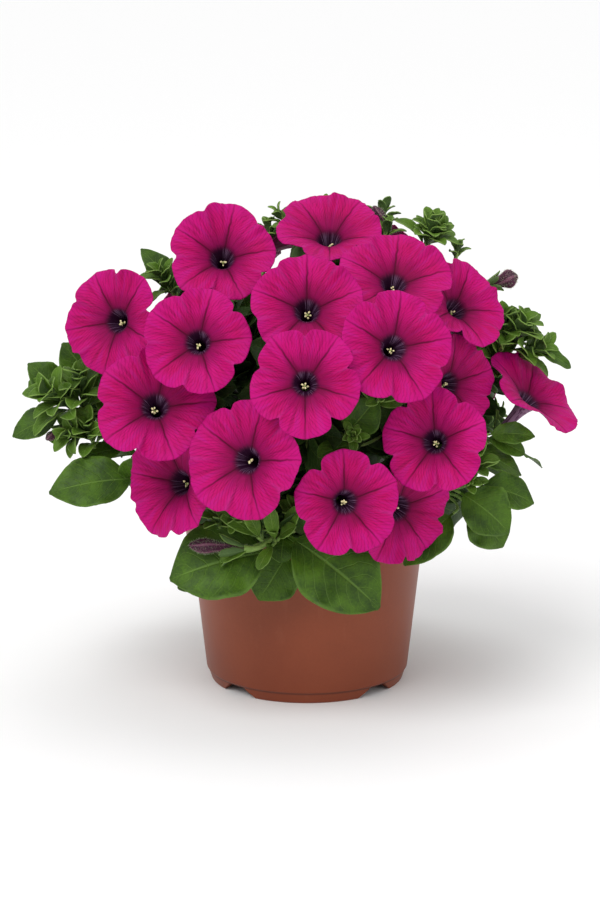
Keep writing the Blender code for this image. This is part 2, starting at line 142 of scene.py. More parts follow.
# Further leafy side shoots that grow beside the tips and fill out the bush, written the same way.
SIDE_TUFTS = (
    ((-72, -20, 222), (-0.45, -0.3, 0.8), 25, 9),
    ((-10, 4, 254), (-0.55, 0.0, 0.85), 17, 4),
    ((-20, 6, 247), (-0.1, 0.0, 1.0), 16, 5),
    ((10, 22, 256), (0.0, 0.2, 1.0), 15, 4),
    ((20, 14, 226), (0.1, 0.3, 1.0), 22, 8),
    ((42, 2, 246), (0.15, 0.0, 1.0), 17, 3),
    ((66, -6, 247), (0.4, -0.3, 0.75), 21, 8),
    ((81, -7, 239), (0.15, 0.0, 1.0), 14, 4),
    ((103, -8, 176), (0.1, -0.5, 0.8), 30, 10),
    ((106, -4, 191), (0.1, -0.3, 0.9), 27, 10),
    ((115, -6, 183), (0.8, -0.35, 0.5), 27, 8),
    ((-122, -28, 160), (-0.05, -0.35, 0.9), 33, 12),
    ((-116, -34, 141), (-0.15, -0.5, 0.8), 27, 10),
    ((-104, -30, 150), (0.1, -0.6, 0.7), 24, 8),
    ((-120, -32, 148), (-0.5, -0.55, 0.1), 24, 7),
    ((-24, -80, 103), (0.1, -0.4, 0.9), 20, 6),
    ((-46, -84, 108), (-0.2, -0.4, 0.9), 18, 6),
    ((-6, -80, 108), (0.1, -0.4, 0.9), 21, 6),
    ((86, -54, 129), (0.2, -0.4, 0.85), 26, 10),
    ((36, -84, 176), (0.2, -0.7, 0.5), 19, 6),
    ((-88, 34, 128), (-0.6, 0.4, 0.4), 26, 9),
    ((88, 50, 128), (0.6, 0.5, 0.3), 26, 9),
    ((-6, 66, 224), (0.0, 0.5, 0.8), 24, 9),
    ((10, 92, 150), (0.0, 0.9, 0.3), 22, 8),
    ((-48, 78, 150), (-0.4, 0.8, 0.3), 22, 8),
    ((62, 64, 208), (0.5, 0.5, 0.7), 24, 8),
    ((-66, 40, 212), (-0.6, 0.4, 0.6), 24, 8),
    ((-84, -4, 196), (-0.7, 0.1, 0.6), 22, 8),
    ((92, 10, 140), (0.8, 0.1, 0.4), 24, 8),
    ((-78, -4, 116), (-0.9, -0.1, 0.3), 24, 8),
    ((0, 84, 100), (0.0, 0.8, 0.6), 22, 8),
    ((40, 20, 250), (0.2, 0.3, 0.9), 20, 7),
    ((-42, 22, 236), (-0.2, 0.3, 0.9), 20, 8),
)

# Small leaves of the side shoots, written as the leaves are.
SMALL_LEAVES = (
    ((120, -8, 192), (145, -10, 179), 11, (0.2, -0.5, 0.8), 2),
    ((32, -74, 176), (44, -80, 190), 15, (0.1, -0.9, 0.4), 1),
    ((-46, -82, 86), (-69, -88, 76), 13, (-0.1, -0.8, 0.5), 2),
    ((26, 8, 220), (22, 14, 244), 17, (0.0, -0.9, 0.3), 2),
    ((-30, 10, 196), (-38, 16, 224), 24, (0.0, -0.9, 0.3), 2),
    ((-6, -72, 99), (-34, -77, 107), 17, (0.0, -0.9, 0.4), 2),
    ((-98, -46, 122), (-88, -62, 140), 17, (0.2, -0.8, 0.5), 2),
    ((97, -42, 148), (118, -45, 139), 11, (0.1, -0.8, 0.6), 2),
    ((24, -78, 152), (6, -92, 150), 13, (0.0, -0.6, 0.8), 2),
    ((-20, -72, 112), (-42, -88, 120), 15, (0.0, -0.8, 0.6), 2),
    ((2, -76, 110), (14, -90, 126), 17, (0.1, -0.8, 0.6), 2),
    ((-12, -78, 104), (-14, -92, 92), 17, (0.0, -0.8, 0.6), 2),
    ((-90, -6, 120), (-118, 2, 104), 22, (-0.5, -0.1, 0.8), 3),
    ((94, 4, 120), (124, 10, 104), 22, (0.5, -0.1, 0.8), 3),
    ((-66, 66, 112), (-90, 84, 94), 24, (-0.4, 0.5, 0.7), 3),
    ((66, 70, 108), (90, 92, 92), 24, (0.4, 0.5, 0.7), 3),
    ((0, 84, 100), (-2, 106, 82), 24, (0.0, 0.7, 0.7), 3),
    ((-104, -14, 160), (-117, -16, 185), 22, (0.2, -0.85, 0.4), 2),
    ((-98, -16, 154), (-124, -20, 163), 17, (0.0, -0.8, 0.6), 2),
    ((-100, -30, 138), (-122, -36, 135), 13, (-0.1, -0.7, 0.7), 2),
)

# Each bud: foot x, y, z; the way it points; length; greatest width.
BUDS = (
    ((-33, -92, 99), (-0.98, -0.18, 0.12), 30, 8),
    ((97, -20, 227), (0.93, -0.1, 0.3), 18, 10),
    ((44, 9, 246), (-0.35, -0.02, 0.93), 21, 8),
)

# Long young leaves round the shoot that hangs over the front of the rim, written as the leaves are.
FRONT_LEAVES = (
    ((-26, -88, 104), (-48, -94, 121), 9, (0.1, -0.8, 0.6), 1.5),
    ((-25, -88, 104), (-33, -96, 122), 8, (0.1, -0.8, 0.5), 1.5),
    ((-17, -86, 102), (-20, -96, 124), 8, (-0.1, -0.8, 0.5), 1.5),
    ((-15, -86, 103), (-6, -97, 113), 8, (-0.2, -0.7, 0.6), 1.5),
    ((-12, -84, 105), (-4, -96, 123), 9, (-0.3, -0.8, 0.5), 1.5),
    ((-28, -89, 100), (-46, -98, 94), 7, (0.0, -0.6, 0.8), 1.5),
    ((-18, -88, 100), (-26, -100, 90), 7, (0.0, -0.6, 0.8), 1.5),
)

# Small dark buds among the young leaves of the side shoots, written as the buds are.
SMALL_BUDS = (
    ((-132, -36, 152), (-0.75, -0.2, -0.5), 12, 5),
    ((-64, 56, 216), (-0.4, 0.5, 0.7), 16, 6),
    ((52, 92, 146), (0.3, 0.9, 0.2), 17, 6),
)

# Main shoots, each as points along it from the crown outward.
SHOOTS = (
    ((0, -2, 90), (-2, -34, 112), (0, -58, 138), (0, -64, 170), (0, -58, 190)),
    ((-2, -2, 90), (-30, -30, 110), (-50, -44, 135), (-58, -48, 165), (-54, -46, 190)),
    ((-3, 0, 90), (-44, -8, 116), (-80, -14, 140), (-106, -20, 152)),
    ((-2, 0, 92), (-18, -4, 135), (-38, -8, 180), (-58, -12, 208)),
    ((1, 0, 92), (8, 4, 135), (22, 2, 185), (44, -2, 220)),
    ((3, 0, 90), (38, -3, 118), (72, -5, 150), (94, -4, 172)),
    ((2, -2, 90), (28, -28, 110), (46, -38, 135), (48, -42, 165), (36, -44, 185)),
    ((3, -3, 90), (36, -34, 104), (62, -46, 112), (76, -50, 118)),
    ((-4, -4, 90), (-5, -40, 100), (-8, -70, 104), (-15, -79, 101)),
    ((-2, 2, 90), (-34, 34, 112), (-54, 46, 140), (-52, 42, 172)),
    ((2, 2, 90), (34, 36, 112), (54, 44, 140), (54, 40, 172)),
    ((0, 3, 90), (-2, 36, 112), (0, 56, 140), (4, 50, 175), (0, 40, 200)),
)

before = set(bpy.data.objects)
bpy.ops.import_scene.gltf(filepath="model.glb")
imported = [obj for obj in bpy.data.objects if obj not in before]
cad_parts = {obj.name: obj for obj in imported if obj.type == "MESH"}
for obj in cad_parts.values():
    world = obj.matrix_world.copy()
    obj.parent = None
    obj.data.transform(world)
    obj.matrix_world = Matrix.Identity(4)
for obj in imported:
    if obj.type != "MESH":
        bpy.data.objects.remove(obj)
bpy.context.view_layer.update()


# ---------------------------------------------------------------- node sums


class Field:
    """One output of a node, used in sums: each operator adds a Math node to the same tree."""

    def __init__(self, tree, socket):
        self.tree = tree
        self.socket = socket

    def math(self, operation, *others):
        return math_node(self.tree, operation, self, *others)

    def __add__(self, other):
        return self.math("ADD", other)

    def __sub__(self, other):
        return self.math("SUBTRACT", other)

    def __rsub__(self, other):
        return math_node(self.tree, "SUBTRACT", other, self)

    def __mul__(self, other):
        return self.math("MULTIPLY", other)

    def __truediv__(self, other):
        return self.math("DIVIDE", other)

    def __pow__(self, other):
        return self.math("POWER", other)

    __radd__ = __add__
    __rmul__ = __mul__


def connect(tree, value, socket):
    if isinstance(value, Field):
        tree.links.new(value.socket, socket)
    elif isinstance(value, bpy.types.NodeSocket):
        tree.links.new(value, socket)
    else:
        socket.default_value = value


def math_node(tree, operation, *values):
    node = tree.nodes.new("ShaderNodeMath")
    node.operation = operation
    for place, value in enumerate(values):
        connect(tree, value, node.inputs[place])
    return Field(tree, node.outputs[0])


def ramp(field, low, high, start=0.0, end=1.0):
    """Runs softly from start to end while the field runs from low to high."""
    node = field.tree.nodes.new("ShaderNodeMapRange")
    node.interpolation_type = "SMOOTHSTEP"
    for place, value in enumerate((field, low, high, start, end)):
        connect(field.tree, value, node.inputs[place])
    return Field(field.tree, node.outputs[0])


def combine(tree, x, y, z):
    node = tree.nodes.new("ShaderNodeCombineXYZ")
    for place, value in enumerate((x, y, z)):
        connect(tree, value, node.inputs[place])
    return node.outputs[0]


def separate(tree, socket):
    node = tree.nodes.new("ShaderNodeSeparateXYZ")
    tree.links.new(socket, node.inputs[0])
    return [Field(tree, output) for output in node.outputs]


def noise_field(tree, vector, scale, detail=2.0, roughness=0.5):
    """Soft noise round zero, from about -0.5 to 0.5."""
    node = tree.nodes.new("ShaderNodeTexNoise")
    connect(tree, vector, node.inputs["Vector"])
    connect(tree, scale, node.inputs["Scale"])
    node.inputs["Detail"].default_value = detail
    node.inputs["Roughness"].default_value = roughness
    return Field(tree, node.outputs[0]) - 0.5


# ---------------------------------------------------------------- shape trees


def new_tree(name, numbers):
    """A Geometry Nodes tree with a geometry output, and its number inputs by name."""
    tree = bpy.data.node_groups.new(name, "GeometryNodeTree")
    tree.interface.new_socket("Geometry", in_out="INPUT", socket_type="NodeSocketGeometry")
    for label, value in numbers.items():
        socket = tree.interface.new_socket(label, in_out="INPUT", socket_type="NodeSocketFloat")
        socket.default_value = value
    tree.interface.new_socket("Finish", in_out="INPUT", socket_type="NodeSocketMaterial")
    tree.interface.new_socket("Geometry", in_out="OUTPUT", socket_type="NodeSocketGeometry")
    entry = tree.nodes.new("NodeGroupInput")
    fields = {label: Field(tree, entry.outputs[label]) for label in numbers}
    return tree, entry, fields


def end_tree(tree, entry, geometry):
    """Ends a tree in Realize Instances and Set Material."""
    realize = tree.nodes.new("GeometryNodeRealizeInstances")
    tree.links.new(geometry, realize.inputs[0])
    paint = tree.nodes.new("GeometryNodeSetMaterial")
    tree.links.new(realize.outputs[0], paint.inputs["Geometry"])
    tree.links.new(entry.outputs["Finish"], paint.inputs["Material"])
    leave = tree.nodes.new("NodeGroupOutput")
    tree.links.new(paint.outputs[0], leave.inputs[0])


def unit_grid(tree, across, along):
    """A grid of unit size: its points, and each point's two places from 0 to 1."""
    grid = tree.nodes.new("GeometryNodeMeshGrid")
    grid.inputs["Size X"].default_value = 1.0
    grid.inputs["Size Y"].default_value = 1.0
    connect(tree, across, grid.inputs["Vertices X"])
    connect(tree, along, grid.inputs["Vertices Y"])
    place = tree.nodes.new("GeometryNodeInputPosition")
    x, y = separate(tree, place.outputs[0])[:2]
    return grid.outputs[0], x + 0.5, y + 0.5


def store(tree, geometry, name, vector):
    node = tree.nodes.new("GeometryNodeStoreNamedAttribute")
    node.data_type = "FLOAT_VECTOR"
    node.domain = "POINT"
    tree.links.new(geometry, node.inputs["Geometry"])
    node.inputs["Name"].default_value = name
    tree.links.new(vector, node.inputs["Value"])
    return node.outputs[0]


def set_place(tree, geometry, vector):
    node = tree.nodes.new("GeometryNodeSetPosition")
    tree.links.new(geometry, node.inputs["Geometry"])
    tree.links.new(vector, node.inputs["Position"])
    return node.outputs[0]


def read_vector(tree, name):
    node = tree.nodes.new("GeometryNodeInputNamedAttribute")
    node.data_type = "FLOAT_VECTOR"
    node.inputs["Name"].default_value = name
    return node.outputs["Attribute"]


def read_number(tree, name):
    node = tree.nodes.new("GeometryNodeInputNamedAttribute")
    node.data_type = "FLOAT"
    node.inputs["Name"].default_value = name
    return Field(tree, node.outputs["Attribute"])


def set_forms(tree, points, form, turn, scale):
    """Sets a form on every point, with a turn and a scale for each."""
    place = tree.nodes.new("GeometryNodeInstanceOnPoints")
    tree.links.new(points, place.inputs["Points"])
    tree.links.new(form, place.inputs["Instance"])
    tree.links.new(turn, place.inputs["Rotation"])
    tree.links.new(scale, place.inputs["Scale"])
    return place


def turn_by(tree, angles):
    node = tree.nodes.new("FunctionNodeEulerToRotation")
    tree.links.new(angles, node.inputs[0])
    return node.outputs[0]


def set_on_points(tree, points, form):
    """Sets a form on every point, turned by the point's heading and sized by its size."""
    turn = turn_by(tree, read_vector(tree, "heading"))
    return set_forms(tree, points, form, turn, read_vector(tree, "size"))


def scatter_points(tree, entry, size):
    """Points spread at random over the faces that come in."""
    scatter = tree.nodes.new("GeometryNodeDistributePointsOnFaces")
    tree.links.new(entry.outputs["Geometry"], scatter.inputs["Mesh"])
    connect(tree, size["Density"], scatter.inputs["Density"])
    connect(tree, size["Seed"], scatter.inputs["Seed"])
    return scatter


def random_vector(tree, low, high, seed):
    """A vector at random for each point, each of its parts between low and high."""
    node = tree.nodes.new("FunctionNodeRandomValue")
    node.data_type = "FLOAT_VECTOR"
    node.inputs[0].default_value = (low, low, low)
    node.inputs[1].default_value = (high, high, high)
    node.inputs["Seed"].default_value = seed
    return node.outputs[0]


def trumpet_tree():
    """The corolla: a slim tube that flares into a limb of five fused lobes, ruffled at its rim."""
    tree, entry, size = new_tree(
        "trumpet flower",
        {
            "Radius": 0.028,
            "Cup": 0.006,
            "Tube": 0.027,
            "Notch": 0.1,
            "Ruffle": 0.0013,
            "Bend": 0.0015,
            "Turn": 0.0,
            "Seed": 0.0,
        },
    )
    sheet, around, along = unit_grid(tree, 161, 50)
    angle = (1.0 - around) * TURN
    petal = (angle - size["Turn"]) * 2.5
    rib = petal.math("COSINE") ** 2.0
    gap = 1.0 - rib
    circle_x = angle.math("COSINE")
    circle_y = angle.math("SINE")

    def wander(scale, detail=2.0):
        return noise_field(tree, combine(tree, circle_x, circle_y, size["Seed"] * 7.3), scale, detail)

    tube_share = 0.3
    tube = (along / tube_share).math("MINIMUM", 1.0)
    limb = ((along - tube_share) / (1.0 - tube_share)).math("MAXIMUM", 0.0)
    uneven = (wander(0.9) * 3.0 + 1.0).math("MAXIMUM", 0.2)
    lobe = 1.0 - size["Notch"] * (gap**2.0 * 0.42 + gap**22.0 * 0.75 * uneven) + rib**16.0 * 0.022
    lobe = lobe + wander(1.3) * 0.09 + wander(3.0) * 0.022 + wander(8.5, 1.0) * 0.012
    mouth = 0.0055
    foot_radius = 0.0019
    lip = 0.0022
    flare = size["Radius"] * lobe - mouth
    radius = foot_radius + tube * 0.0009 + tube**5.0 * 0.0027 + limb * flare
    height = size["Tube"] * (tube - 1.0) - tube * lip
    height = height + (size["Cup"] + lip) * limb**0.55
    edge = limb**3.0
    height = height - limb**6.0 * rib * 0.0022
    height = height + limb**2.0 * gap**6.0 * 0.0012
    fold = (petal * 2.0).math("SINE") * gap**3.0
    height = height + limb**3.0 * fold * 0.0022
    height = height - (limb * (1.15 - limb)) * rib**40.0 * 0.0016
    sway = (angle * 2.0 + size["Seed"] * 2.4).math("COSINE")
    height = height + limb**2.0 * sway * size["Bend"]
    height = height + edge * wander(2.1) * size["Ruffle"] * 3.8
    height = height + limb**6.0 * wander(4.6) * size["Ruffle"] * 3.4
    height = height + limb * wander(18.0, 1.0) * 0.0010
    reach = radius / size["Radius"]
    own = angle - size["Turn"]
    pattern = combine(tree, own.math("COSINE") * reach, own.math("SINE") * reach, height * 20.0)
    marked = store(tree, sheet, "bloom", pattern)
    spot = combine(tree, circle_x * radius, circle_y * radius, height)
    shaped = set_place(tree, marked, spot)
    weld = tree.nodes.new("GeometryNodeMergeByDistance")
    tree.links.new(shaped, weld.inputs["Geometry"])
    weld.inputs["Distance"].default_value = 0.000002
    end_tree(tree, entry, weld.outputs[0])
    return tree


def blade_tree():
    """A leaf blade of the given size: foot at the origin, tip toward +Y, upper face toward +Z."""
    tree, entry, size = new_tree(
        "leaf blade",
        {
            "Length": 1.0,
            "Width": 0.5,
            "Bow": 0.1,
            "Keel": 0.14,
            "Wave": 0.06,
            "Quilt": 0.6,
            "Curl": 0.0,
            "Stalk": 0.1,
            "Foot": 0.55,
            "Tip": 0.72,
            "Seed": 0.0,
            "Across": 13.0,
            "Along": 30.0,
        },
    )
    sheet, across, along = unit_grid(tree, size["Across"], size["Along"])
    side = across * 2.0 - 1.0
    blade = ((along - size["Stalk"]) / (1.0 - size["Stalk"])).math("MAXIMUM", 0.0)
    foot = size["Foot"]
    tip = size["Tip"]
    widest = (foot / (foot + tip)) ** foot * (tip / (foot + tip)) ** tip
    belly = blade**foot * (1.0 - blade).math("MAXIMUM", 0.0) ** tip / widest
    wobble = noise_field(tree, combine(tree, along * 2.2, side * 0.6, size["Seed"] * 3.7), 1.6)
    half = size["Width"] * 0.5 * (belly * (1.0 + wobble * 0.18)).math("MAXIMUM", 0.05)
    bow = size["Bow"] * (1.0 - (along * 2.0 - 1.0) ** 2.0)
    lift = side.math("ABSOLUTE") * half * size["Keel"]
    wave = (along * 15.0 + size["Seed"] * 5.0 + side * 1.4).math("SINE")
    lift = lift + side**2.0 * wave * half * size["Wave"]
    lift = lift + wobble * half * 0.35 * side.math("ABSOLUTE")
    quilt = (along * 9.0 - side.math("ABSOLUTE") * 2.6).math("FRACT") - 0.5
    lift = lift - (quilt.math("ABSOLUTE") ** 4.0) * half * size["Quilt"] * side.math("ABSOLUTE")
    rise = bow + lift - size["Curl"] * along**3.0
    marked = store(tree, sheet, "blade", combine(tree, side, along, size["Seed"]))
    spot = combine(tree, side * half, along * size["Length"], rise)
    end_tree(tree, entry, set_place(tree, marked, spot))
    return tree


def spray_tree(blade):
    """Sets one small blade on every point, turned by its heading and sized by its size."""
    form_inputs = {
        "Bow": 0.1,
        "Keel": 0.2,
        "Curl": 0.0,
        "Wave": 0.04,
        "Stalk": 0.08,
        "Foot": 0.55,
        "Tip": 0.72,
        "Across": 6.0,
        "Along": 10.0,
    }
    tree, entry, size = new_tree("leaf spray", form_inputs)
    forms = tree.nodes.new("GeometryNodeGeometryToInstance")
    for number in range(3):
        form = tree.nodes.new("GeometryNodeGroup")
        form.node_tree = blade
        form.inputs["Length"].default_value = 1.0
        form.inputs["Width"].default_value = 1.0
        form.inputs["Quilt"].default_value = 0.0
        form.inputs["Seed"].default_value = 1.0 + number
        for label in form_inputs:
            tree.links.new(size[label].socket, form.inputs[label])
        tree.links.new(entry.outputs["Finish"], form.inputs["Finish"])
        tree.links.new(form.outputs[0], forms.inputs[0])
    place = set_on_points(tree, entry.outputs["Geometry"], forms.outputs[0])
    place.inputs["Pick Instance"].default_value = True
    end_tree(tree, entry, place.outputs[0])
    return tree


def bead_tree():
    """Sets one rounded bead on every point, turned by its heading and sized by its size."""
    tree, entry, size = new_tree("beads", {"Segments": 8.0, "Rings": 6.0})
    bead = tree.nodes.new("GeometryNodeMeshUVSphere")
    tree.links.new(size["Segments"].socket, bead.inputs["Segments"])
    tree.links.new(size["Rings"].socket, bead.inputs["Rings"])
    bead.inputs["Radius"].default_value = 1.0
    place = set_on_points(tree, entry.outputs["Geometry"], bead.outputs[0])
    end_tree(tree, entry, place.outputs[0])
    return tree


def sweep_tree():
    """Sweeps a round, slightly uneven section along every edge path, as thick as its points say."""
    tree, entry, size = new_tree("stem sweep", {"Sides": 10.0, "Unevenness": 0.12})
    line = tree.nodes.new("GeometryNodeMeshToCurve")
    tree.links.new(entry.outputs["Geometry"], line.inputs[0])
    section = tree.nodes.new("GeometryNodeCurvePrimitiveCircle")
    tree.links.new(size["Sides"].socket, section.inputs["Resolution"])
    section.inputs["Radius"].default_value = 1.0
    sweep = tree.nodes.new("GeometryNodeCurveToMesh")
    tree.links.new(line.outputs[0], sweep.inputs["Curve"])
    tree.links.new(section.outputs[0], sweep.inputs["Profile Curve"])
    connect(tree, read_number(tree, "thick"), sweep.inputs["Scale"])
    sweep.inputs["Fill Caps"].default_value = True
    place = tree.nodes.new("GeometryNodeInputPosition")
    normal = tree.nodes.new("GeometryNodeInputNormal")
    lump = noise_field(tree, place.outputs[0], 260.0, 1.0)
    push = tree.nodes.new("ShaderNodeVectorMath")
    push.operation = "SCALE"
    tree.links.new(normal.outputs[0], push.inputs[0])
    connect(tree, lump * size["Unevenness"] * 0.004, push.inputs["Scale"])
    shift = tree.nodes.new("GeometryNodeSetPosition")
    tree.links.new(sweep.outputs[0], shift.inputs["Geometry"])
    tree.links.new(push.outputs[0], shift.inputs["Offset"])
    end_tree(tree, entry, shift.outputs[0])
    return tree


def hair_tree():
    """Scatters fine tapering hairs over a skin."""
    tree, entry, size = new_tree(
        "hairs", {"Density": 260000.0, "Hair Length": 0.0013, "Hair Width": 0.00005, "Seed": 3.0}
    )
    scatter = scatter_points(tree, entry, size)
    hair = tree.nodes.new("GeometryNodeMeshCone")
    hair.inputs["Vertices"].default_value = 3
    hair.inputs["Radius Top"].default_value = 0.1
    hair.inputs["Radius Bottom"].default_value = 1.0
    hair.inputs["Depth"].default_value = 1.0
    way = tree.nodes.new("ShaderNodeVectorMath")
    tree.links.new(scatter.outputs["Normal"], way.inputs[0])
    tree.links.new(random_vector(tree, -0.5, 0.5, 8), way.inputs[1])
    turn = tree.nodes.new("FunctionNodeAlignRotationToVector")
    turn.axis = "Z"
    tree.links.new(way.outputs[0], turn.inputs["Vector"])
    reach = tree.nodes.new("FunctionNodeRandomValue")
    reach.data_type = "FLOAT"
    reach.inputs[2].default_value = 0.5
    reach.inputs[3].default_value = 1.2
    reach.inputs["Seed"].default_value = 21
    grown = Field(tree, reach.outputs[1]) * size["Hair Length"]
    scale = combine(tree, size["Hair Width"], size["Hair Width"], grown)
    place = set_forms(tree, scatter.outputs["Points"], hair.outputs[0], turn.outputs[0], scale)
    end_tree(tree, entry, place.outputs[0])
    return tree


def crumb_tree():
    """Scatters small uneven crumbs over a surface."""
    tree, entry, size = new_tree(
        "soil crumbs", {"Density": 130000.0, "Smallest": 0.0005, "Largest": 0.0021, "Seed": 5.0}
    )
    scatter = scatter_points(tree, entry, size)
    up = tree.nodes.new("GeometryNodeInputNormal")
    level = separate(tree, up.outputs[0])[2]
    tree.links.new(level.math("GREATER_THAN", 0.5).socket, scatter.inputs["Selection"])
    crumb = tree.nodes.new("GeometryNodeMeshIcoSphere")
    crumb.inputs["Radius"].default_value = 1.0
    crumb.inputs["Subdivisions"].default_value = 1
    spin = turn_by(tree, random_vector(tree, 0.0, TURN, 2))
    x, y, z = separate(tree, random_vector(tree, 0.0, 1.0, 4))
    span = size["Largest"] - size["Smallest"]
    sized = combine(
        tree,
        size["Smallest"] + span * x * y,
        size["Smallest"] + span * y * z,
        size["Smallest"] + span * x * z * 0.8,
    )
    place = set_forms(tree, scatter.outputs["Points"], crumb.outputs[0], spin, sized)
    end_tree(tree, entry, place.outputs[0])
    return tree


def link_new(name, data):
    """A new object that holds some data, linked into the scene."""
    made = bpy.data.objects.new(name, data)
    bpy.context.scene.collection.objects.link(made)
    return made


def settled(carrier):
    """A plain mesh of an object as its modifiers leave it, with every attribute kept."""
    graph = bpy.context.evaluated_depsgraph_get()
    seen = carrier.evaluated_get(graph)
    return bpy.data.meshes.new_from_object(seen, preserve_all_data_layers=True, depsgraph=graph)


def grow(tree, name, finish, numbers, base=None):
    """Runs a tree and returns its result as a plain mesh."""
    carrier = link_new(name + "_carrier", base or bpy.data.meshes.new(name + "_base"))
    modifier = carrier.modifiers.new("tree", "NODES")
    modifier.node_group = tree
    keys = {
        item.name: item.identifier
        for item in tree.interface.items_tree
        if item.item_type == "SOCKET" and item.in_out == "INPUT"
    }
    for label, value in numbers.items():
        modifier[keys[label]] = value
    modifier[keys["Finish"]] = finish
    mesh = settled(carrier)
    carrier.modifiers.remove(modifier)
    bpy.data.objects.remove(carrier)
    mesh.materials.clear()
    mesh.materials.append(finish)
    mesh.polygons.foreach_set("material_index", [0] * len(mesh.polygons))
    mesh.name = name
    return mesh


def point_mesh(name, spots):
    """Loose points that carry a heading and a size each."""
    mesh = bpy.data.meshes.new(name)
    mesh.from_pydata([spot for spot, _, _ in spots], [], [])
    heading = mesh.attributes.new("heading", "FLOAT_VECTOR", "POINT")
    size = mesh.attributes.new("size", "FLOAT_VECTOR", "POINT")
    for place, (_, turn, scale) in enumerate(spots):
        heading.data[place].vector = turn
        size.data[place].vector = scale
    return mesh


def piece(name, mesh, slot, *nodes):
    """Links a finished mesh as a piece that rides on the plant and stands for CAD nodes."""
    thing = link_new(name, mesh)
    for polygon in mesh.polygons:
        polygon.use_smooth = True
    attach(thing, "root")
    if nodes:
        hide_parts(*nodes)
    return thing


def thicken(mesh, thickness, back):
    """The mesh as a thin closed sheet, its back in a finish of its own."""
    mesh.materials.append(back)
    carrier = link_new("sheet_carrier", mesh)
    wall = carrier.modifiers.new("wall", "SOLIDIFY")
    wall.thickness = thickness
    wall.offset = -1.0
    wall.material_offset = 1
    wall.use_even_offset = False
    made = settled(carrier)
    bpy.data.objects.remove(carrier)
    return made


# ---------------------------------------------------------------- places


def real(point):
    """A place on the plant in metres."""
    return (Vector(point) + PLACE) * MM


def facing(bearing, rise):
    """The unit vector at a bearing from -Y toward +X, raised above level."""
    turn = math.radians(bearing)
    lift = math.radians(rise)
    return Vector((math.sin(turn) * math.cos(lift), -math.cos(turn) * math.cos(lift), math.sin(lift)))


def flower_place(flower):
    """A flower's mouth, the way it faces and the length of its tube."""
    x, y, z, bearing, rise, width = flower[:6]
    return Vector((x, y, z)), facing(bearing, rise), TUBE_LENGTH * width / USUAL_WIDTH


def across(direction):
    """Two unit vectors square to a direction: the first level, the second as far up as it goes."""
    forward = Vector(direction).normalized()
    side = Vector((0, 0, 1)).cross(forward)
    if side.length < 0.01:
        side = Vector((1, 0, 0))
    side.normalize()
    return side, forward.cross(side)


def axes_matrix(x, y, z, place):
    """The matrix that takes X, Y, Z to three directions and the origin to a place."""
    turn = Matrix((x, y, z)).transposed().to_4x4()
    return Matrix.Translation(place) @ turn


def blade_axes(run, upper):
    """Side, run and upper directions of a blade that lies along run and looks toward upper."""
    along = run.normalized()
    above = (upper - along * upper.dot(along)).normalized()
    return along.cross(above), along, above


def bezier(first, second, third, fourth, steps):
    points = []
    for step in range(steps + 1):
        part = step / steps
        rest = 1 - part
        near = first * rest**3 + second * (3 * part * rest**2)
        points.append(near + third * (3 * part**2 * rest) + fourth * part**3)
    return points


def smooth_path(stations, steps):
    """Points along a rounded line through stations."""
    points = []
    last = len(stations) - 1
    for place in range(last):
        here = stations[place]
        there = stations[place + 1]
        lead = (there - stations[max(0, place - 1)]) / 6
        trail = (stations[min(last, place + 2)] - here) / 6
        points.extend(bezier(here, here + lead, there - trail, there, steps)[:-1])
    points.append(stations[last])
    return points


def twig(spots, foot, direction, radius, end_radius):
    """A stalk from the nearest main shoot to a piece's foot, met head on, and its radii."""
    forward = Vector(direction).normalized()
    foot = Vector(foot)
    aim = foot - forward * 16
    start = min(spots, key=lambda spot: (spot - aim).length + 0.3 * max(0.0, spot.z - foot.z))
    neck = foot - forward * 2.8
    reach = (foot - start).length
    lift = Vector((0, 0, 0.2 * reach))
    path = bezier(start, start + (neck - start) * 0.25 + lift, neck - forward * (0.4 * reach), neck, 10)
    path.append(foot)
    last = len(path) - 1
    radii = [radius * 0.95 if place < last - 1 else 0.5 * (radius + end_radius) for place in range(last)]
    return path, radii + [end_radius]


# ---------------------------------------------------------------- finishes


def finish(name, base, roughness, sheen=0.0, sheen_roughness=0.5, specular=0.5):
    """A new material, its tree and its shader, ready to be wired."""
    made = bpy.data.materials.new(name)
    made.use_nodes = True
    shader = made.node_tree.nodes["Principled BSDF"]
    shader.inputs["Base Color"].default_value = (*base, 1.0)
    shader.inputs["Roughness"].default_value = roughness
    shader.inputs["Sheen Weight"].default_value = sheen
    shader.inputs["Sheen Roughness"].default_value = sheen_roughness
    shader.inputs["Specular IOR Level"].default_value = specular
    made.diffuse_color = (*base, 1.0)
    return made, made.node_tree, shader


def blend(tree, share, first, second):
    """A colour between two, by a share."""
    node = tree.nodes.new("ShaderNodeMix")
    node.data_type = "RGBA"
    connect(tree, share, node.inputs["Factor"])
    for value, socket in ((first, node.inputs[6]), (second, node.inputs[7])):
        if isinstance(value, tuple):
            socket.default_value = (*value, 1.0)
        else:
            tree.links.new(value, socket)
    return node.outputs[2]


def attribute(tree, name):
    node = tree.nodes.new("ShaderNodeAttribute")
    node.attribute_name = name
    return node.outputs["Vector"]


def object_place(tree):
    return tree.nodes.new("ShaderNodeTexCoord").outputs["Object"]


def bump(tree, shader, height, strength, distance):
    node = tree.nodes.new("ShaderNodeBump")
    node.inputs["Strength"].default_value = strength
    node.inputs["Distance"].default_value = distance
    connect(tree, height, node.inputs["Height"])
    tree.links.new(node.outputs[0], shader.inputs["Normal"])


def leave_group(group, shown):
    """Ends a group in its outputs, each wired by its name."""
    leave = group.nodes.new("NodeGroupOutput")
    for label, value in shown.items():
        group.links.new(value.socket, leave.inputs[label])


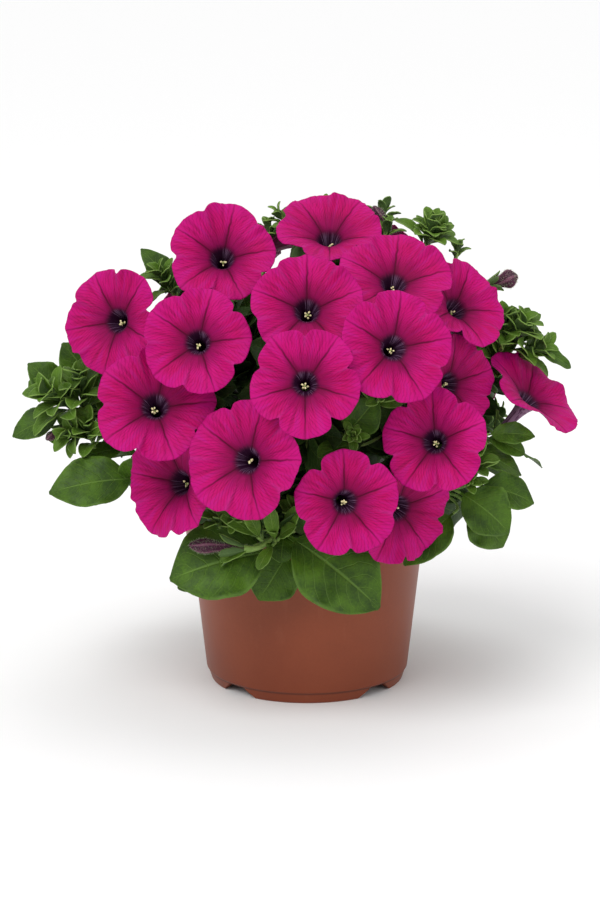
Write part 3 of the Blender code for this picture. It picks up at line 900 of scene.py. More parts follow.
def mottle_group():
    """Broad and fine cloudy patches, as one number from 0 to 1."""
    group = bpy.data.node_groups.new("mottle", "ShaderNodeTree")
    group.interface.new_socket("Vector", in_out="INPUT", socket_type="NodeSocketVector")
    for label, value in (("Broad Scale", 40.0), ("Fine Scale", 400.0), ("Fine Share", 0.4)):
        socket = group.interface.new_socket(label, in_out="INPUT", socket_type="NodeSocketFloat")
        socket.default_value = value
    group.interface.new_socket("Patches", in_out="OUTPUT", socket_type="NodeSocketFloat")
    entry = group.nodes.new("NodeGroupInput")
    broad = noise_field(group, entry.outputs["Vector"], entry.outputs["Broad Scale"], 3.0)
    fine = noise_field(group, entry.outputs["Vector"], entry.outputs["Fine Scale"], 2.0)
    share = Field(group, entry.outputs["Fine Share"])
    total = broad * (1.0 - share) + fine * share
    leave_group(group, {"Patches": ramp(total, -0.22, 0.22)})
    return group


def petal_vein_group():
    """Veins of a five-lobed limb from its flat place: midribs, side veins, and reach from the centre."""
    group = bpy.data.node_groups.new("petal veins", "ShaderNodeTree")
    group.interface.new_socket("Bloom", in_out="INPUT", socket_type="NodeSocketVector")
    for label in ("Midrib", "Side Veins", "Reach", "Seam", "Rays"):
        group.interface.new_socket(label, in_out="OUTPUT", socket_type="NodeSocketFloat")
    entry = group.nodes.new("NodeGroupInput")
    x, y = separate(group, entry.outputs["Bloom"])[:2]
    reach = (x * x + y * y).math("SQRT")
    angle = y.math("ARCTAN2", x)
    drift = noise_field(group, entry.outputs["Bloom"], 5.0, 3.0)
    lobes = (angle + drift * 0.09) * (5.0 / TURN) + 10.5
    off = (lobes.math("FRACT") - 0.5).math("ABSOLUTE")
    wide = off * reach * 35.0
    midrib = 1.0 - ramp(wide, 0.0, 1.25 - reach * 0.6)
    midrib = midrib * ramp(reach, 0.5, 1.0, 1.0, 0.45)
    flame = (1.0 - ramp(wide, 0.0, 4.5 - reach * 3.0)) * ramp(reach, 0.25, 0.85, 0.55, 0.0)
    midrib = midrib.math("MAXIMUM", flame)
    branch = reach * 8.5 - off * 15.0 + drift * 2.2
    line = (branch.math("FRACT") - 0.5).math("ABSOLUTE")
    side = ramp(line, 0.32, 0.5) * ramp(off, 0.02, 0.1) * ramp(reach, 0.28, 0.5)
    ring = 15.0
    ray_place = combine(group, angle.math("COSINE") * ring, angle.math("SINE") * ring, reach * 1.8)
    ray = noise_field(group, ray_place, 1.0, 3.0)
    rays = ramp(ray, 0.0, 0.16) * ramp(reach, 0.12, 0.3) * ramp(reach, 0.6, 1.05, 1.0, 0.45)
    seam = ramp(off, 0.44, 0.5) * ramp(reach, 0.4, 0.8)
    fine = side * 0.6 + rays * 0.65
    leave_group(group, {"Midrib": midrib, "Side Veins": fine, "Reach": reach, "Seam": seam, "Rays": ray})
    return group


def leaf_vein_group():
    """Veins of a leaf from its side and along places: midrib and curved side veins."""
    group = bpy.data.node_groups.new("leaf veins", "ShaderNodeTree")
    group.interface.new_socket("Blade", in_out="INPUT", socket_type="NodeSocketVector")
    for label in ("Midrib", "Side Veins", "Edge"):
        group.interface.new_socket(label, in_out="OUTPUT", socket_type="NodeSocketFloat")
    entry = group.nodes.new("NodeGroupInput")
    side, along = separate(group, entry.outputs["Blade"])[:2]
    away = side.math("ABSOLUTE")
    drift = noise_field(group, entry.outputs["Blade"], 3.0, 2.0)
    midrib = 1.0 - ramp(away, 0.012, 0.055)
    midrib = midrib * ramp(along, 0.75, 1.0, 1.0, 0.25)
    rung = along * 8.0 - away * 1.5 - away * away * 1.3 + drift * 0.6
    line = (rung.math("FRACT") - 0.5).math("ABSOLUTE")
    veins = ramp(line, 0.43, 0.5) * ramp(away, 0.75, 0.98, 1.0, 0.1)
    edge = ramp(away, 0.88, 1.0)
    leave_group(group, {"Midrib": midrib, "Side Veins": veins, "Edge": edge})
    return group


def use_group(tree, group, **values):
    node = tree.nodes.new("ShaderNodeGroup")
    node.node_tree = group
    for label, value in values.items():
        connect(tree, value, node.inputs[label.replace("_", " ")])
    return node


def cloud_field(tree, mottle, place, broad, fine, share):
    """Patches of two sizes over a surface, from 0 to 1."""
    patches = use_group(tree, mottle, Vector=place, Broad_Scale=broad, Fine_Scale=fine, Fine_Share=share)
    return Field(tree, patches.outputs[0])


def petal_finish(veins, mottle):
    """Velvety magenta with dark midribs and painted sheen, deepening toward a purple-black throat streaked
    with lavender; the deepening is partly painted shade.
    """
    made, tree, shader = finish("petal_face", (0.42, 0.006, 0.13), 0.6, 0.07, 0.35, 0.09)
    shader.inputs["Sheen Tint"].default_value = (0.8, 0.1, 0.7, 1.0)
    flat = attribute(tree, "bloom")
    found = use_group(tree, veins, Bloom=flat)
    midrib, side, reach, seam, rays = (Field(tree, output) for output in found.outputs)
    cloud = cloud_field(tree, mottle, object_place(tree), 60.0, 900.0, 0.3)
    colour = blend(tree, cloud, (0.42, 0.0010, 0.091), (0.50, 0.0035, 0.158))
    # Painted sheen: a purple-pink tone laid between the dark rays.
    colour = blend(tree, ramp(rays, -0.18, -0.02, 0.5, 0.0), colour, (0.43, 0.010, 0.215))
    # Painted sheen: the outer rim of each limb is lightened toward pink-lilac as a painted highlight.
    colour = blend(tree, ramp(reach, 0.72, 1.0, 0.0, 0.45), colour, (0.48, 0.006, 0.20))
    colour = blend(tree, side * ramp(reach, 0.3, 0.85, 1.0, 0.6), colour, (0.15, 0.0005, 0.042))
    colour = blend(tree, seam * 0.3, colour, (0.44, 0.03, 0.25))
    # Darker toward the throat: partly the petal's own dark streaks, partly painted shade where the limb
    # curves into the tube.
    colour = blend(tree, ramp(reach + rays * 0.5, 0.2, 0.66, 0.75, 0.0), colour, (0.12, 0.0005, 0.036))
    colour = blend(tree, midrib * 0.95, colour, (0.070, 0.0002, 0.016))
    throat = ramp(reach + rays * 0.08, 0.17, 0.30, 1.0, 0.0)
    colour = blend(tree, throat, colour, (0.022, 0.003, 0.018))
    pale = ramp(rays, 0.02, 0.2) * ramp(reach, 0.08, 0.14) * ramp(reach, 0.17, 0.25, 1.0, 0.0)
    colour = blend(tree, pale * 0.55, colour, (0.42, 0.25, 0.44))
    tree.links.new(colour, shader.inputs["Base Color"])
    bump(tree, shader, cloud * 0.2 - side * 0.5 - midrib + rays * 0.9, 0.5, 0.0005)
    return made


def petal_back_finish(veins, mottle):
    """Duller petal backs, and a pale purple tube with dark stripes."""
    made, tree, shader = finish("petal_back", (0.34, 0.03, 0.16), 0.66, 0.25, 0.4, 0.25)
    shader.inputs["Sheen Tint"].default_value = (0.95, 0.7, 0.9, 1.0)
    flat = attribute(tree, "bloom")
    found = use_group(tree, veins, Bloom=flat)
    wanted = ("Midrib", "Side Veins", "Reach", "Rays")
    midrib, side, reach, rays = (Field(tree, found.outputs[label]) for label in wanted)
    cloud = cloud_field(tree, mottle, object_place(tree), 60.0, 900.0, 0.3)
    colour = blend(tree, cloud, (0.30, 0.012, 0.115), (0.38, 0.03, 0.17))
    colour = blend(tree, side * 0.35, colour, (0.18, 0.01, 0.07))
    colour = blend(tree, midrib * 0.6, colour, (0.30, 0.10, 0.18))
    x, y, deep = separate(tree, flat)
    streak = noise_field(tree, combine(tree, x, y, deep * 0.08), 40.0, 2.0)
    colour = blend(tree, ramp(reach, 0.22, 0.42, 1.0, 0.0), colour, (0.31, 0.17, 0.28))
    dark = ramp(streak, -0.02, 0.10) * ramp(reach, 0.25, 0.45, 0.85, 0.0)
    colour = blend(tree, dark, colour, (0.085, 0.014, 0.07))
    tree.links.new(colour, shader.inputs["Base Color"])
    bump(tree, shader, cloud * 0.2 + midrib + rays * 0.9, 0.4, 0.0005)
    return made


def leaf_finish(name, dark, light, vein, veins, mottle, depth, edging=0.4):
    """Matte downy green, with paler veins, pale furry edges and soft patches."""
    made, tree, shader = finish(name, light, 0.5, 0.04, 0.45, 0.2)
    shader.inputs["Sheen Tint"].default_value = (0.8, 1.0, 0.5, 1.0)
    found = use_group(tree, veins, Blade=attribute(tree, "blade"))
    midrib, side, edge = (Field(tree, output) for output in found.outputs)
    cloud = cloud_field(tree, mottle, object_place(tree), 95.0, 900.0, 0.3)
    colour = blend(tree, cloud, dark, light)
    colour = blend(tree, side * 0.35, colour, vein)
    colour = blend(tree, midrib * 0.5, colour, vein)
    colour = blend(tree, edge * edging, colour, vein)
    tree.links.new(colour, shader.inputs["Base Color"])
    bump(tree, shader, cloud * 0.35 - side * 0.6 - midrib, 0.6, depth)
    return made


def cloudy_finish(name, mottle, dark, light, roughness, scales, depth, sheen, strength):
    """One colour family in soft patches, with a matching fine relief."""
    made, tree, shader = finish(name, light, roughness, sheen, 0.4, 0.4)
    cloud = cloud_field(tree, mottle, object_place(tree), *scales, 0.5)
    tree.links.new(blend(tree, cloud, dark, light), shader.inputs["Base Color"])
    bump(tree, shader, cloud, strength, depth)
    return made


def bud_finish(mottle):
    """Purple-black furled petals with a paler ridge along each pleat and a green foot."""
    made, tree, shader = finish("bud_furled", (0.05, 0.01, 0.03), 0.6, 0.15, 0.4, 0.3)
    furl = separate(tree, attribute(tree, "furl"))
    turn = furl[0]
    part = furl[2]
    cloud = cloud_field(tree, mottle, object_place(tree), 260.0, 1500.0, 0.5)
    colour = blend(tree, cloud, (0.030, 0.004, 0.018), (0.070, 0.010, 0.036))
    colour = blend(tree, ramp(turn, 0.35, 0.95) * 0.75, colour, (0.20, 0.075, 0.12))
    colour = blend(tree, ramp(part, 0.0, 0.28, 0.7, 0.0), colour, (0.14, 0.15, 0.06))
    tree.links.new(colour, shader.inputs["Base Color"])
    bump(tree, shader, cloud * 0.4 + turn * 0.4, 0.5, 0.0005)
    return made


def plastic_finish(mottle):
    """Satin terracotta-coloured plastic: faint dust, painted shade darker low down, a dark line over the
    foot ring.
    """
    made, tree, shader = finish("pot_plastic", (0.23, 0.052, 0.021), 0.42, specular=0.32)
    spot = object_place(tree)
    x, y, z = separate(tree, spot)
    cloud = cloud_field(tree, mottle, spot, 22.0, 700.0, 0.25)
    dust = noise_field(tree, combine(tree, x, y, z * 0.25), 160.0, 3.0)
    colour = blend(tree, cloud, (0.205, 0.042, 0.0145), (0.245, 0.054, 0.0195))
    colour = blend(tree, ramp(dust, 0.08, 0.3) * 0.10, colour, (0.40, 0.17, 0.10))
    groove = 1.0 - ramp((z - 0.0058).math("ABSOLUTE"), 0.0002, 0.0009)
    # Painted shade: the wall darkens toward the bottom, standing in for the shade low on the pot.
    colour = blend(tree, ramp(z, 0.008, 0.05, 0.28, 0.0), colour, (0.11, 0.018, 0.005))
    colour = blend(tree, groove * 0.65, colour, (0.06, 0.014, 0.008))
    tree.links.new(colour, shader.inputs["Base Color"])
    rough = 0.40 + cloud * 0.08 + ramp(dust, 0.08, 0.3) * 0.1
    tree.links.new(rough.socket, shader.inputs["Roughness"])
    grain = noise_field(tree, spot, 2600.0, 2.0)
    bump(tree, shader, grain * 0.5 + cloud * 0.3, 0.12, 0.0002)
    return made


# ---------------------------------------------------------------- pieces


def rounded(profile, radius, steps=3):
    """The outline with every inner corner replaced by a short curve."""
    points = [profile[0]]
    for before, here, after in zip(profile, profile[1:], profile[2:]):
        corner = Vector(here)
        back = Vector(before) - corner
        ahead = Vector(after) - corner
        cut = min(radius, 0.42 * back.length, 0.42 * ahead.length)
        start = corner + back.normalized() * cut
        end = corner + ahead.normalized() * cut
        for step in range(steps + 1):
            part = step / steps
            mixed = start * (1 - part) ** 2 + corner * (2 * part * (1 - part)) + end * part**2
            points.append((mixed.x, mixed.y))
    points.append(profile[-1])
    return points


def turned(name, profile, sides):
    """A closed solid turned about the pot's axis."""
    points = []
    rows = []
    for radius, height in profile:
        if radius == 0:
            rows.append([len(points)])
            points.append(real((0, 0, height)))
            continue
        rows.append(list(range(len(points), len(points) + sides)))
        for step in range(sides):
            x = radius * math.cos(TURN * step / sides)
            y = radius * math.sin(TURN * step / sides)
            points.append(real((x, y, height)))
    faces = []
    for first, second in zip(rows, rows[1:]):
        for step in range(sides):
            after = (step + 1) % sides
            if len(first) == 1:
                faces.append((first[0], second[after], second[step]))
            elif len(second) == 1:
                faces.append((first[step], first[after], second[0]))
            else:
                faces.append((first[step], first[after], second[after], second[step]))
    mesh = bpy.data.meshes.new(name)
    mesh.from_pydata(points, [], faces)
    return mesh


def wall_radius(height):
    part = (height - FOOT_HEIGHT) / (BAND_BOTTOM - FOOT_HEIGHT)
    return WALL_FOOT_RADIUS + (WALL_TOP_RADIUS - WALL_FOOT_RADIUS) * part


def notch_cutter():
    """The four sloped-sided gaps between the feet, as one cutter."""
    half_top = NOTCH_TOP_WIDTH / 2
    half_bottom = NOTCH_BOTTOM_WIDTH / 2
    outline = [
        (-half_bottom - 0.4, -1.0),
        (-half_top - 1.6, FOOT_HEIGHT - 1.8),
        (-half_top - 0.6, FOOT_HEIGHT - 0.7),
        (-half_top + 0.6, FOOT_HEIGHT - 0.4),
    ]
    outline.extend([(-x, z) for x, z in reversed(outline)])
    points = []
    faces = []
    count = len(outline)
    for bearing in NOTCH_BEARINGS:
        turn = math.radians(bearing)
        out = Vector((math.cos(turn), math.sin(turn), 0))
        along = Vector((-math.sin(turn), math.cos(turn), 0))
        base = len(points)
        for reach in (FOOT_RADIUS - 10, FOOT_RADIUS + 10):
            points.extend(real(out * reach + along * x + Vector((0, 0, z))) for x, z in outline)
        faces.append([base + place for place in range(count)])
        faces.append([base + count + place for place in reversed(range(count))])
        for place in range(count):
            after = (place + 1) % count
            faces.append([base + after, base + place, base + count + place, base + count + after])
    mesh = bpy.data.meshes.new("notch_cutter")
    mesh.from_pydata(points, [], faces)
    return mesh


def make_pot(plastic):
    floor_top = FOOT_HEIGHT + FLOOR_THICKNESS
    foot_inner = FOOT_RADIUS - FOOT_WIDTH
    profile = [
        (0, FOOT_HEIGHT),
        (foot_inner, FOOT_HEIGHT),
        (foot_inner, 0),
        (FOOT_RADIUS, 0),
        (WALL_FOOT_RADIUS - 1.1, FOOT_HEIGHT - 1.0),
        (WALL_FOOT_RADIUS - 0.8, FOOT_HEIGHT),
        (WALL_FOOT_RADIUS, FOOT_HEIGHT + 0.7),
        (wall_radius(30), 30),
        (wall_radius(55), 55),
        (WALL_TOP_RADIUS, BAND_BOTTOM),
        (BAND_BOTTOM_RADIUS, BAND_BOTTOM),
        (0.5 * (BAND_BOTTOM_RADIUS + RIM_RADIUS), 0.5 * (BAND_BOTTOM + RIM_HEIGHT)),
        (RIM_RADIUS, RIM_HEIGHT),
        (RIM_RADIUS - 1.9, RIM_HEIGHT),
        (BAND_BOTTOM_RADIUS - WALL_THICKNESS, BAND_BOTTOM + 2.0),
        (WALL_TOP_RADIUS - WALL_THICKNESS, BAND_BOTTOM - 1.0),
        (wall_radius(floor_top) - WALL_THICKNESS, floor_top),
        (0, floor_top),
    ]
    mesh = turned("nursery_pot", rounded(profile, 0.7), POT_SIDES)
    body = link_new("pot_carrier", mesh)
    cutter = link_new("notch_cutter", notch_cutter())
    cut = body.modifiers.new("feet", "BOOLEAN")
    cut.operation = "DIFFERENCE"
    cut.solver = "EXACT"
    cut.object = cutter
    made = settled(body)
    bpy.data.objects.remove(body)
    bpy.data.objects.remove(cutter)
    made.materials.clear()
    made.materials.append(plastic)
    pot = piece("nursery_pot", made, "pot_plastic", "pot")
    made.set_sharp_from_angle(angle=math.radians(38))
    return pot


def make_soil(peat, crumbs):
    floor_top = FOOT_HEIGHT + FLOOR_THICKNESS
    clear = WALL_THICKNESS + SEAT_GAP

    def lumps(x, y):
        broad = noise.noise(Vector((x * 0.07, y * 0.07, 3.0)))
        fine = noise.noise(Vector((x * 0.25, y * 0.25, 8.0)))
        return 2.2 * broad + fine

    edge = BAND_BOTTOM_RADIUS - clear
    side = [
        (0, floor_top + SEAT_GAP),
        (wall_radius(floor_top) - clear, floor_top + SEAT_GAP),
        (WALL_TOP_RADIUS - clear, BAND_BOTTOM - 1.0),
        (edge, BAND_BOTTOM + 2.0),
    ]
    top = [(edge - 0.5 - 62 * part / 26, SOIL_HEIGHT - 1.2 * (part == 0)) for part in range(26)]
    rows = side + top + [(0, SOIL_HEIGHT)]

    def height(x, y):
        away = math.hypot(x, y)
        return lumps(x, y) * min(1.0, max(0.0, (edge - away) / 6)) if away < edge - 0.4 else 0.0

    mesh = turned("peat_soil", rows, SOIL_SIDES)
    for vertex in mesh.vertices:
        if vertex.co.z > (SOIL_HEIGHT - 2) * MM:
            vertex.co.z += height(vertex.co.x / MM - PLACE.x, vertex.co.y / MM - PLACE.y) * MM
    mesh.materials.append(peat)
    scattered = grow(crumbs, "soil_crumbs", peat, {}, mesh.copy())
    piece("peat_soil", mesh, "peat_soil", "soil")
    loose = piece("soil_crumbs", scattered, "peat_soil")
    for polygon in loose.data.polygons:
        polygon.use_smooth = False


def make_blooms(tree, face, back):
    """Each open flower as one thin closed sheet."""
    rng = random.Random(11)
    for number, flower in enumerate(FLOWERS, 1):
        mouth, forward, tube = flower_place(flower)
        side, up = across(forward)
        width, turn, cup = flower[5:]
        numbers = {
            "Radius": width / 2 * MM,
            "Cup": cup * width / USUAL_WIDTH * MM,
            "Tube": tube * MM,
            "Notch": rng.uniform(0.10, 0.19),
            "Ruffle": rng.uniform(1.1, 1.8) * MM,
            "Bend": rng.uniform(0.6, 2.0) * MM,
            "Turn": math.radians(turn),
            "Seed": float(number),
        }
        name = f"bloom_{number:02d}"
        mesh = thicken(grow(tree, name, face, numbers), PETAL_SHEET, back)
        mesh.name = name
        mesh.transform(axes_matrix(side, up, forward, real(mouth)))
        piece(name, mesh, "magenta_petal", f"corolla_{number:02d}")


def make_anthers(beads, cream, olive):
    """Five pollen-bearing anthers and one stigma deep in each throat."""
    rng = random.Random(5)
    anthers = []
    stigmas = []
    for flower in FLOWERS:
        mouth, forward, _ = flower_place(flower)
        side, up = across(forward)
        lean = side * rng.uniform(-0.6, 0.6) + up * rng.uniform(-0.9, 0.2)
        for place in range(5):
            angle = TURN * place / 5 + rng.uniform(-0.4, 0.4)
            out = side * math.cos(angle) + up * math.sin(angle)
            spot = mouth + lean + out * rng.uniform(0.6, 1.5) - forward * rng.uniform(2.8, 6.5)
            turned_by = axes_matrix(*blade_axes(out + forward * 0.4, forward), Vector()).to_euler()
            anthers.append((real(spot), turned_by, Vector((0.6, 0.8, 0.5)) * MM * rng.uniform(0.75, 1.1)))
        turned_by = axes_matrix(side, up, forward, Vector()).to_euler()
        stigmas.append((real(mouth + lean - forward * 5.2), turned_by, Vector((0.75, 0.75, 0.6)) * MM))
    piece("anthers", grow(beads, "anthers", cream, {}, point_mesh("anther_points", anthers)), "bud_skin")
    piece("stigmas", grow(beads, "stigmas", olive, {}, point_mesh("stigma_points", stigmas)), "green_stem")


def make_leaves(tree, face, young, back):
    """The large separate leaves, the small ones on the side shoots and the long ones at the front."""
    rng = random.Random(23)
    large = len(LEAVES)
    mature = large + len(SMALL_LEAVES)
    for number, (foot, tip, width, upper, arch) in enumerate(LEAVES + SMALL_LEAVES + FRONT_LEAVES, 1):
        run = Vector(tip) - Vector(foot)
        numbers = {
            "Length": run.length * MM,
            "Width": width * MM,
            "Bow": arch * MM,
            "Keel": 0.16,
            "Wave": rng.uniform(0.05, 0.12),
            "Curl": rng.uniform(0.0, 0.05) * run.length * MM,
            "Stalk": 0.07,
            "Foot": 0.72 if number <= mature else 0.9,
            "Tip": 0.86 if number <= large else 0.62,
            "Seed": number * 0.73,
            "Across": 17.0,
            "Along": 44.0,
        }
        name = f"leaf_blade_{number:02d}"
        mesh = thicken(grow(tree, name, face if number <= mature else young, numbers), LEAF_SHEET, back)
        mesh.name = name
        mesh.transform(axes_matrix(*blade_axes(run, Vector(upper)), real(foot)))
        nodes = [f"leaf_{number:02d}"] if number <= large else []
        piece(name, mesh, "green_leaf" if number <= mature else "young_leaf", *nodes)


def solids_of(wanted):
    """The CAD solids whose names are wanted, ready for overlap tests."""
    solids = []
    for name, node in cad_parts.items():
        if wanted(name):
            shape = node.data
            shape.calc_loop_triangles()
            corners = [tuple(triangle.vertices) for triangle in shape.loop_triangles]
            solids.append(BVHTree.FromPolygons([vertex.co.copy() for vertex in shape.vertices], corners))
    return solids


def blade_strip(foot, side, run, above, width):
    """A rough strip in the place of a leaf blade, for overlap tests."""
    points = []
    for part, half in ((0.12, 0.1), (0.35, 0.5), (0.6, 0.5), (0.85, 0.3), (1.0, 0.05)):
        centre = foot + run * part + above * 1.2
        points.append(real(centre - side * (half * width * 1.05)))
        points.append(real(centre + side * (half * width * 1.05)))
    faces = [(2 * row, 2 * row + 1, 2 * row + 3, 2 * row + 2) for row in range(4)]
    return BVHTree.FromPolygons(points, faces)


def is_free(strip, solids):
    return not any(strip.overlap(solid) for solid in solids)


def leafy_tuft(rng, petals, foot, direction, length, count):
    """The places of young leaves that spiral up a growing tip, the outer ones leaning out most."""
    forward = Vector(direction).normalized()
    side, up = across(forward)
    spots = []
    leaves = count + 4
    for leaf in range(leaves):
        part = leaf / (leaves - 1)
        angle = math.radians(LEAF_TURN * leaf + rng.uniform(-20, 20))
        out = side * math.cos(angle) + up * math.sin(angle)
        lean = 1.2 - 0.9 * part + rng.uniform(-0.18, 0.18)
        heading = out * math.sin(lean) + forward * math.cos(lean)
        start = Vector(foot) + forward * (length * 0.5 * part) + out * 0.5
        reach = length * (0.82 - 0.34 * part) * rng.uniform(0.82, 1.12)
        width = reach * rng.uniform(0.40, 0.50)
        blade_side, along, above = blade_axes(heading, forward - out * 0.6)
        if is_free(blade_strip(start, blade_side, along * reach, above, width), petals):
            turn = axes_matrix(blade_side, along, above, Vector()).to_euler()
            spots.append((real(start), turn, Vector((width, reach, reach)) * MM))
    return spots


def make_shoot_tips(spray, young, back, petals):
    """The tufts of young leaves at the growing tips and on the side shoots."""
    rng = random.Random(31)
    form = {"Bow": 0.14, "Keel": 0.16, "Curl": 0.0, "Foot": 0.8, "Tip": 0.62, "Across": 8.0, "Along": 16.0}
    for number, tip in enumerate(SHOOT_TIPS, 1):
        name = f"young_leaves_{number}"
        grown = grow(spray, name, young, form, point_mesh("tip_points", leafy_tuft(rng, petals, *tip)))
        piece(name, thicken(grown, YOUNG_LEAF_SHEET, back), "young_leaf", f"shoot_tip_{number}")
    spots = []
    for tuft in SIDE_TUFTS:
        spots.extend(leafy_tuft(rng, petals, *tuft))
    grown = grow(spray, "side_tufts", young, form, point_mesh("tuft_points", spots))
    piece("side_tufts", thicken(grown, YOUNG_LEAF_SHEET, back), "young_leaf")


def bud_mesh(foot, direction, length, width):
    """A furled bud: a pleated spindle that twists toward its tip."""
    side, up = across(direction)
    forward = Vector(direction).normalized()
    rows = 36
    sides = 60
    points = []
    furls = []
    for row in range(rows + 1):
        part = row / rows
        swell = 0.34 + 0.3 * min(1.0, part / 0.25) + 0.36 * math.exp(-(((part - 0.72) / 0.17) ** 2))
        swell *= min(1.0, max(0.06, (1.02 - part) / 0.16)) ** 0.6
        for step in range(sides):
            angle = TURN * step / sides
            fold = 2.5 * angle + 2.6 * part
            pleat = 1 + 0.20 * part * abs(math.cos(fold)) - 0.12 * part
            reach = width / 2 * swell * pleat
            spot = Vector(foot) + forward * (length * part)
            points.append(real(spot + side * (reach * math.cos(angle)) + up * (reach * math.sin(angle))))
            furls.append((math.cos(2 * fold), math.sin(2 * fold), part))
    faces = [tuple(reversed(range(sides))), tuple(range(rows * sides, (rows + 1) * sides))]
    for row in range(rows):
        for step in range(sides):
            after = (step + 1) % sides
            low = row * sides
            faces.append((low + step, low + after, low + sides + after, low + sides + step))
    mesh = bpy.data.meshes.new("flower_bud")
    mesh.from_pydata(points, [], faces)
    marks = mesh.attributes.new("furl", "FLOAT_VECTOR", "POINT")
    for place, furl in enumerate(furls):
        marks.data[place].vector = furl
    return mesh


def make_buds(skin, hairs, down):
    """The furled buds, with fine pale hairs."""
    small = len(BUDS)
    for number, bud in enumerate(BUDS + SMALL_BUDS, 1):
        mesh = bud_mesh(*bud)
        mesh.name = f"flower_bud_{number}"
        mesh.materials.append(skin)
        fuzz = grow(hairs, f"bud_hairs_{number}", down, {"Density": 1500000.0}, mesh.copy())
        nodes = [f"bud_{number}"] if number <= small else []
        piece(mesh.name, mesh, "bud_skin", *nodes)
        piece(fuzz.name, fuzz, "green_stem")


def stem_paths():
    """Every shoot and stalk as a path with its radii, in millimetres."""
    shoots = [smooth_path([Vector(point) for point in shoot], 5) for shoot in SHOOTS]
    spots = [point for path in shoots for point in path[3:-1]]
    paths = []
    for path in shoots:
        last = len(path) - 1
        paths.append((path, [2.5 - 1.0 * place / last for place in range(last + 1)]))
    paths.append(([Vector((0, 0, 85.0)), Vector((0, 0, 90.0)), Vector((0, 0, 98.0))], [7.0, 6.0, 3.2]))
    for flower in FLOWERS:
        mouth, forward, tube = flower_place(flower)
        paths.append(twig(spots, mouth - forward * (tube - 1.0), forward, 0.95, 2.0))
    for foot, tip, _, upper, arch in LEAVES + SMALL_LEAVES + FRONT_LEAVES:
        run = Vector(tip) - Vector(foot)
        above = blade_axes(run, Vector(upper))[2]
        start = (run + above * (arch * 4)).normalized()
        paths.append(twig(spots, Vector(foot) + start * 0.6, start, 0.85, 0.8))
    for foot, direction, length, _ in SHOOT_TIPS + SIDE_TUFTS:
        forward = Vector(direction).normalized()
        paths.append(twig(spots, Vector(foot) + forward * 1.0, forward, 1.0, 1.1))
        steps = [Vector(foot) + forward * (share * length) for share in (0.0, 0.35, 0.62)]
        paths.append((steps, [1.2, 1.0, 0.6]))
    for foot, direction, length, width in BUDS + SMALL_BUDS:
        forward = Vector(direction).normalized()
        paths.append(twig(spots, Vector(foot) + forward * 0.8, forward, 0.055 * length, 0.3 * width))
    return paths, spots


def make_stems(sweep, hairs, green, down):
    paths, spots = stem_paths()
    points = []
    edges = []
    thick = []
    for path, radii in paths:
        base = len(points)
        points.extend(real(point) for point in path)
        edges.extend((base + place, base + place + 1) for place in range(len(path) - 1))
        thick.extend(radius * MM for radius in radii)
    lines = bpy.data.meshes.new("stem_lines")
    lines.from_pydata(points, edges, [])
    values = lines.attributes.new("thick", "FLOAT", "POINT")
    values.data.foreach_set("value", thick)
    mesh = grow(sweep, "plant_stems", green, {}, lines)
    fuzz = grow(hairs, "stem_hairs", down, {}, mesh.copy())
    piece("plant_stems", mesh, "green_stem", "stems")
    piece("stem_hairs", fuzz, "green_stem")
    return spots


def make_sepals(spray, young, back):
    """Five narrow sepals that stand round the foot of every flower and bud."""
    rng = random.Random(41)
    spots = []
    feet = []
    for flower in FLOWERS:
        mouth, forward, tube = flower_place(flower)
        feet.append((mouth - forward * tube, forward, 13.0, 1.7))
    for foot, direction, length, _ in BUDS + SMALL_BUDS:
        feet.append((Vector(foot), Vector(direction).normalized(), min(16.0, 0.55 * length), 1.4))
    for foot, forward, length, ring in feet:
        side, up = across(forward)
        for leaf in range(5):
            angle = TURN * leaf / 5 + rng.uniform(-0.2, 0.2)
            out = side * math.cos(angle) + up * math.sin(angle)
            heading = forward + out * rng.uniform(0.28, 0.62)
            reach = length * rng.uniform(0.85, 1.15)
            turn = axes_matrix(*blade_axes(heading, forward * 0.3 - out), Vector()).to_euler()
            spots.append((real(foot + out * ring), turn, Vector((reach * 0.27, reach, reach)) * MM))
    form = {"Bow": -0.06, "Keel": 0.2, "Curl": 0.12, "Stalk": 0.02, "Foot": 0.7, "Tip": 0.5, "Along": 12.0}
    grown = grow(spray, "sepals", young, form, point_mesh("sepal_points", spots))
    piece("sepals", thicken(grown, LEAF_SHEET, back), "young_leaf")


def outward(number, tries):
    """One of many directions spread evenly over all but the lowest part of a ball."""
    level = 1 - 1.62 * (number + 0.5) / tries
    angle = SPREAD_TURN * number
    flat = math.sqrt(max(0.0, 1 - level * level))
    return Vector((flat * math.cos(angle), flat * math.sin(angle), level))


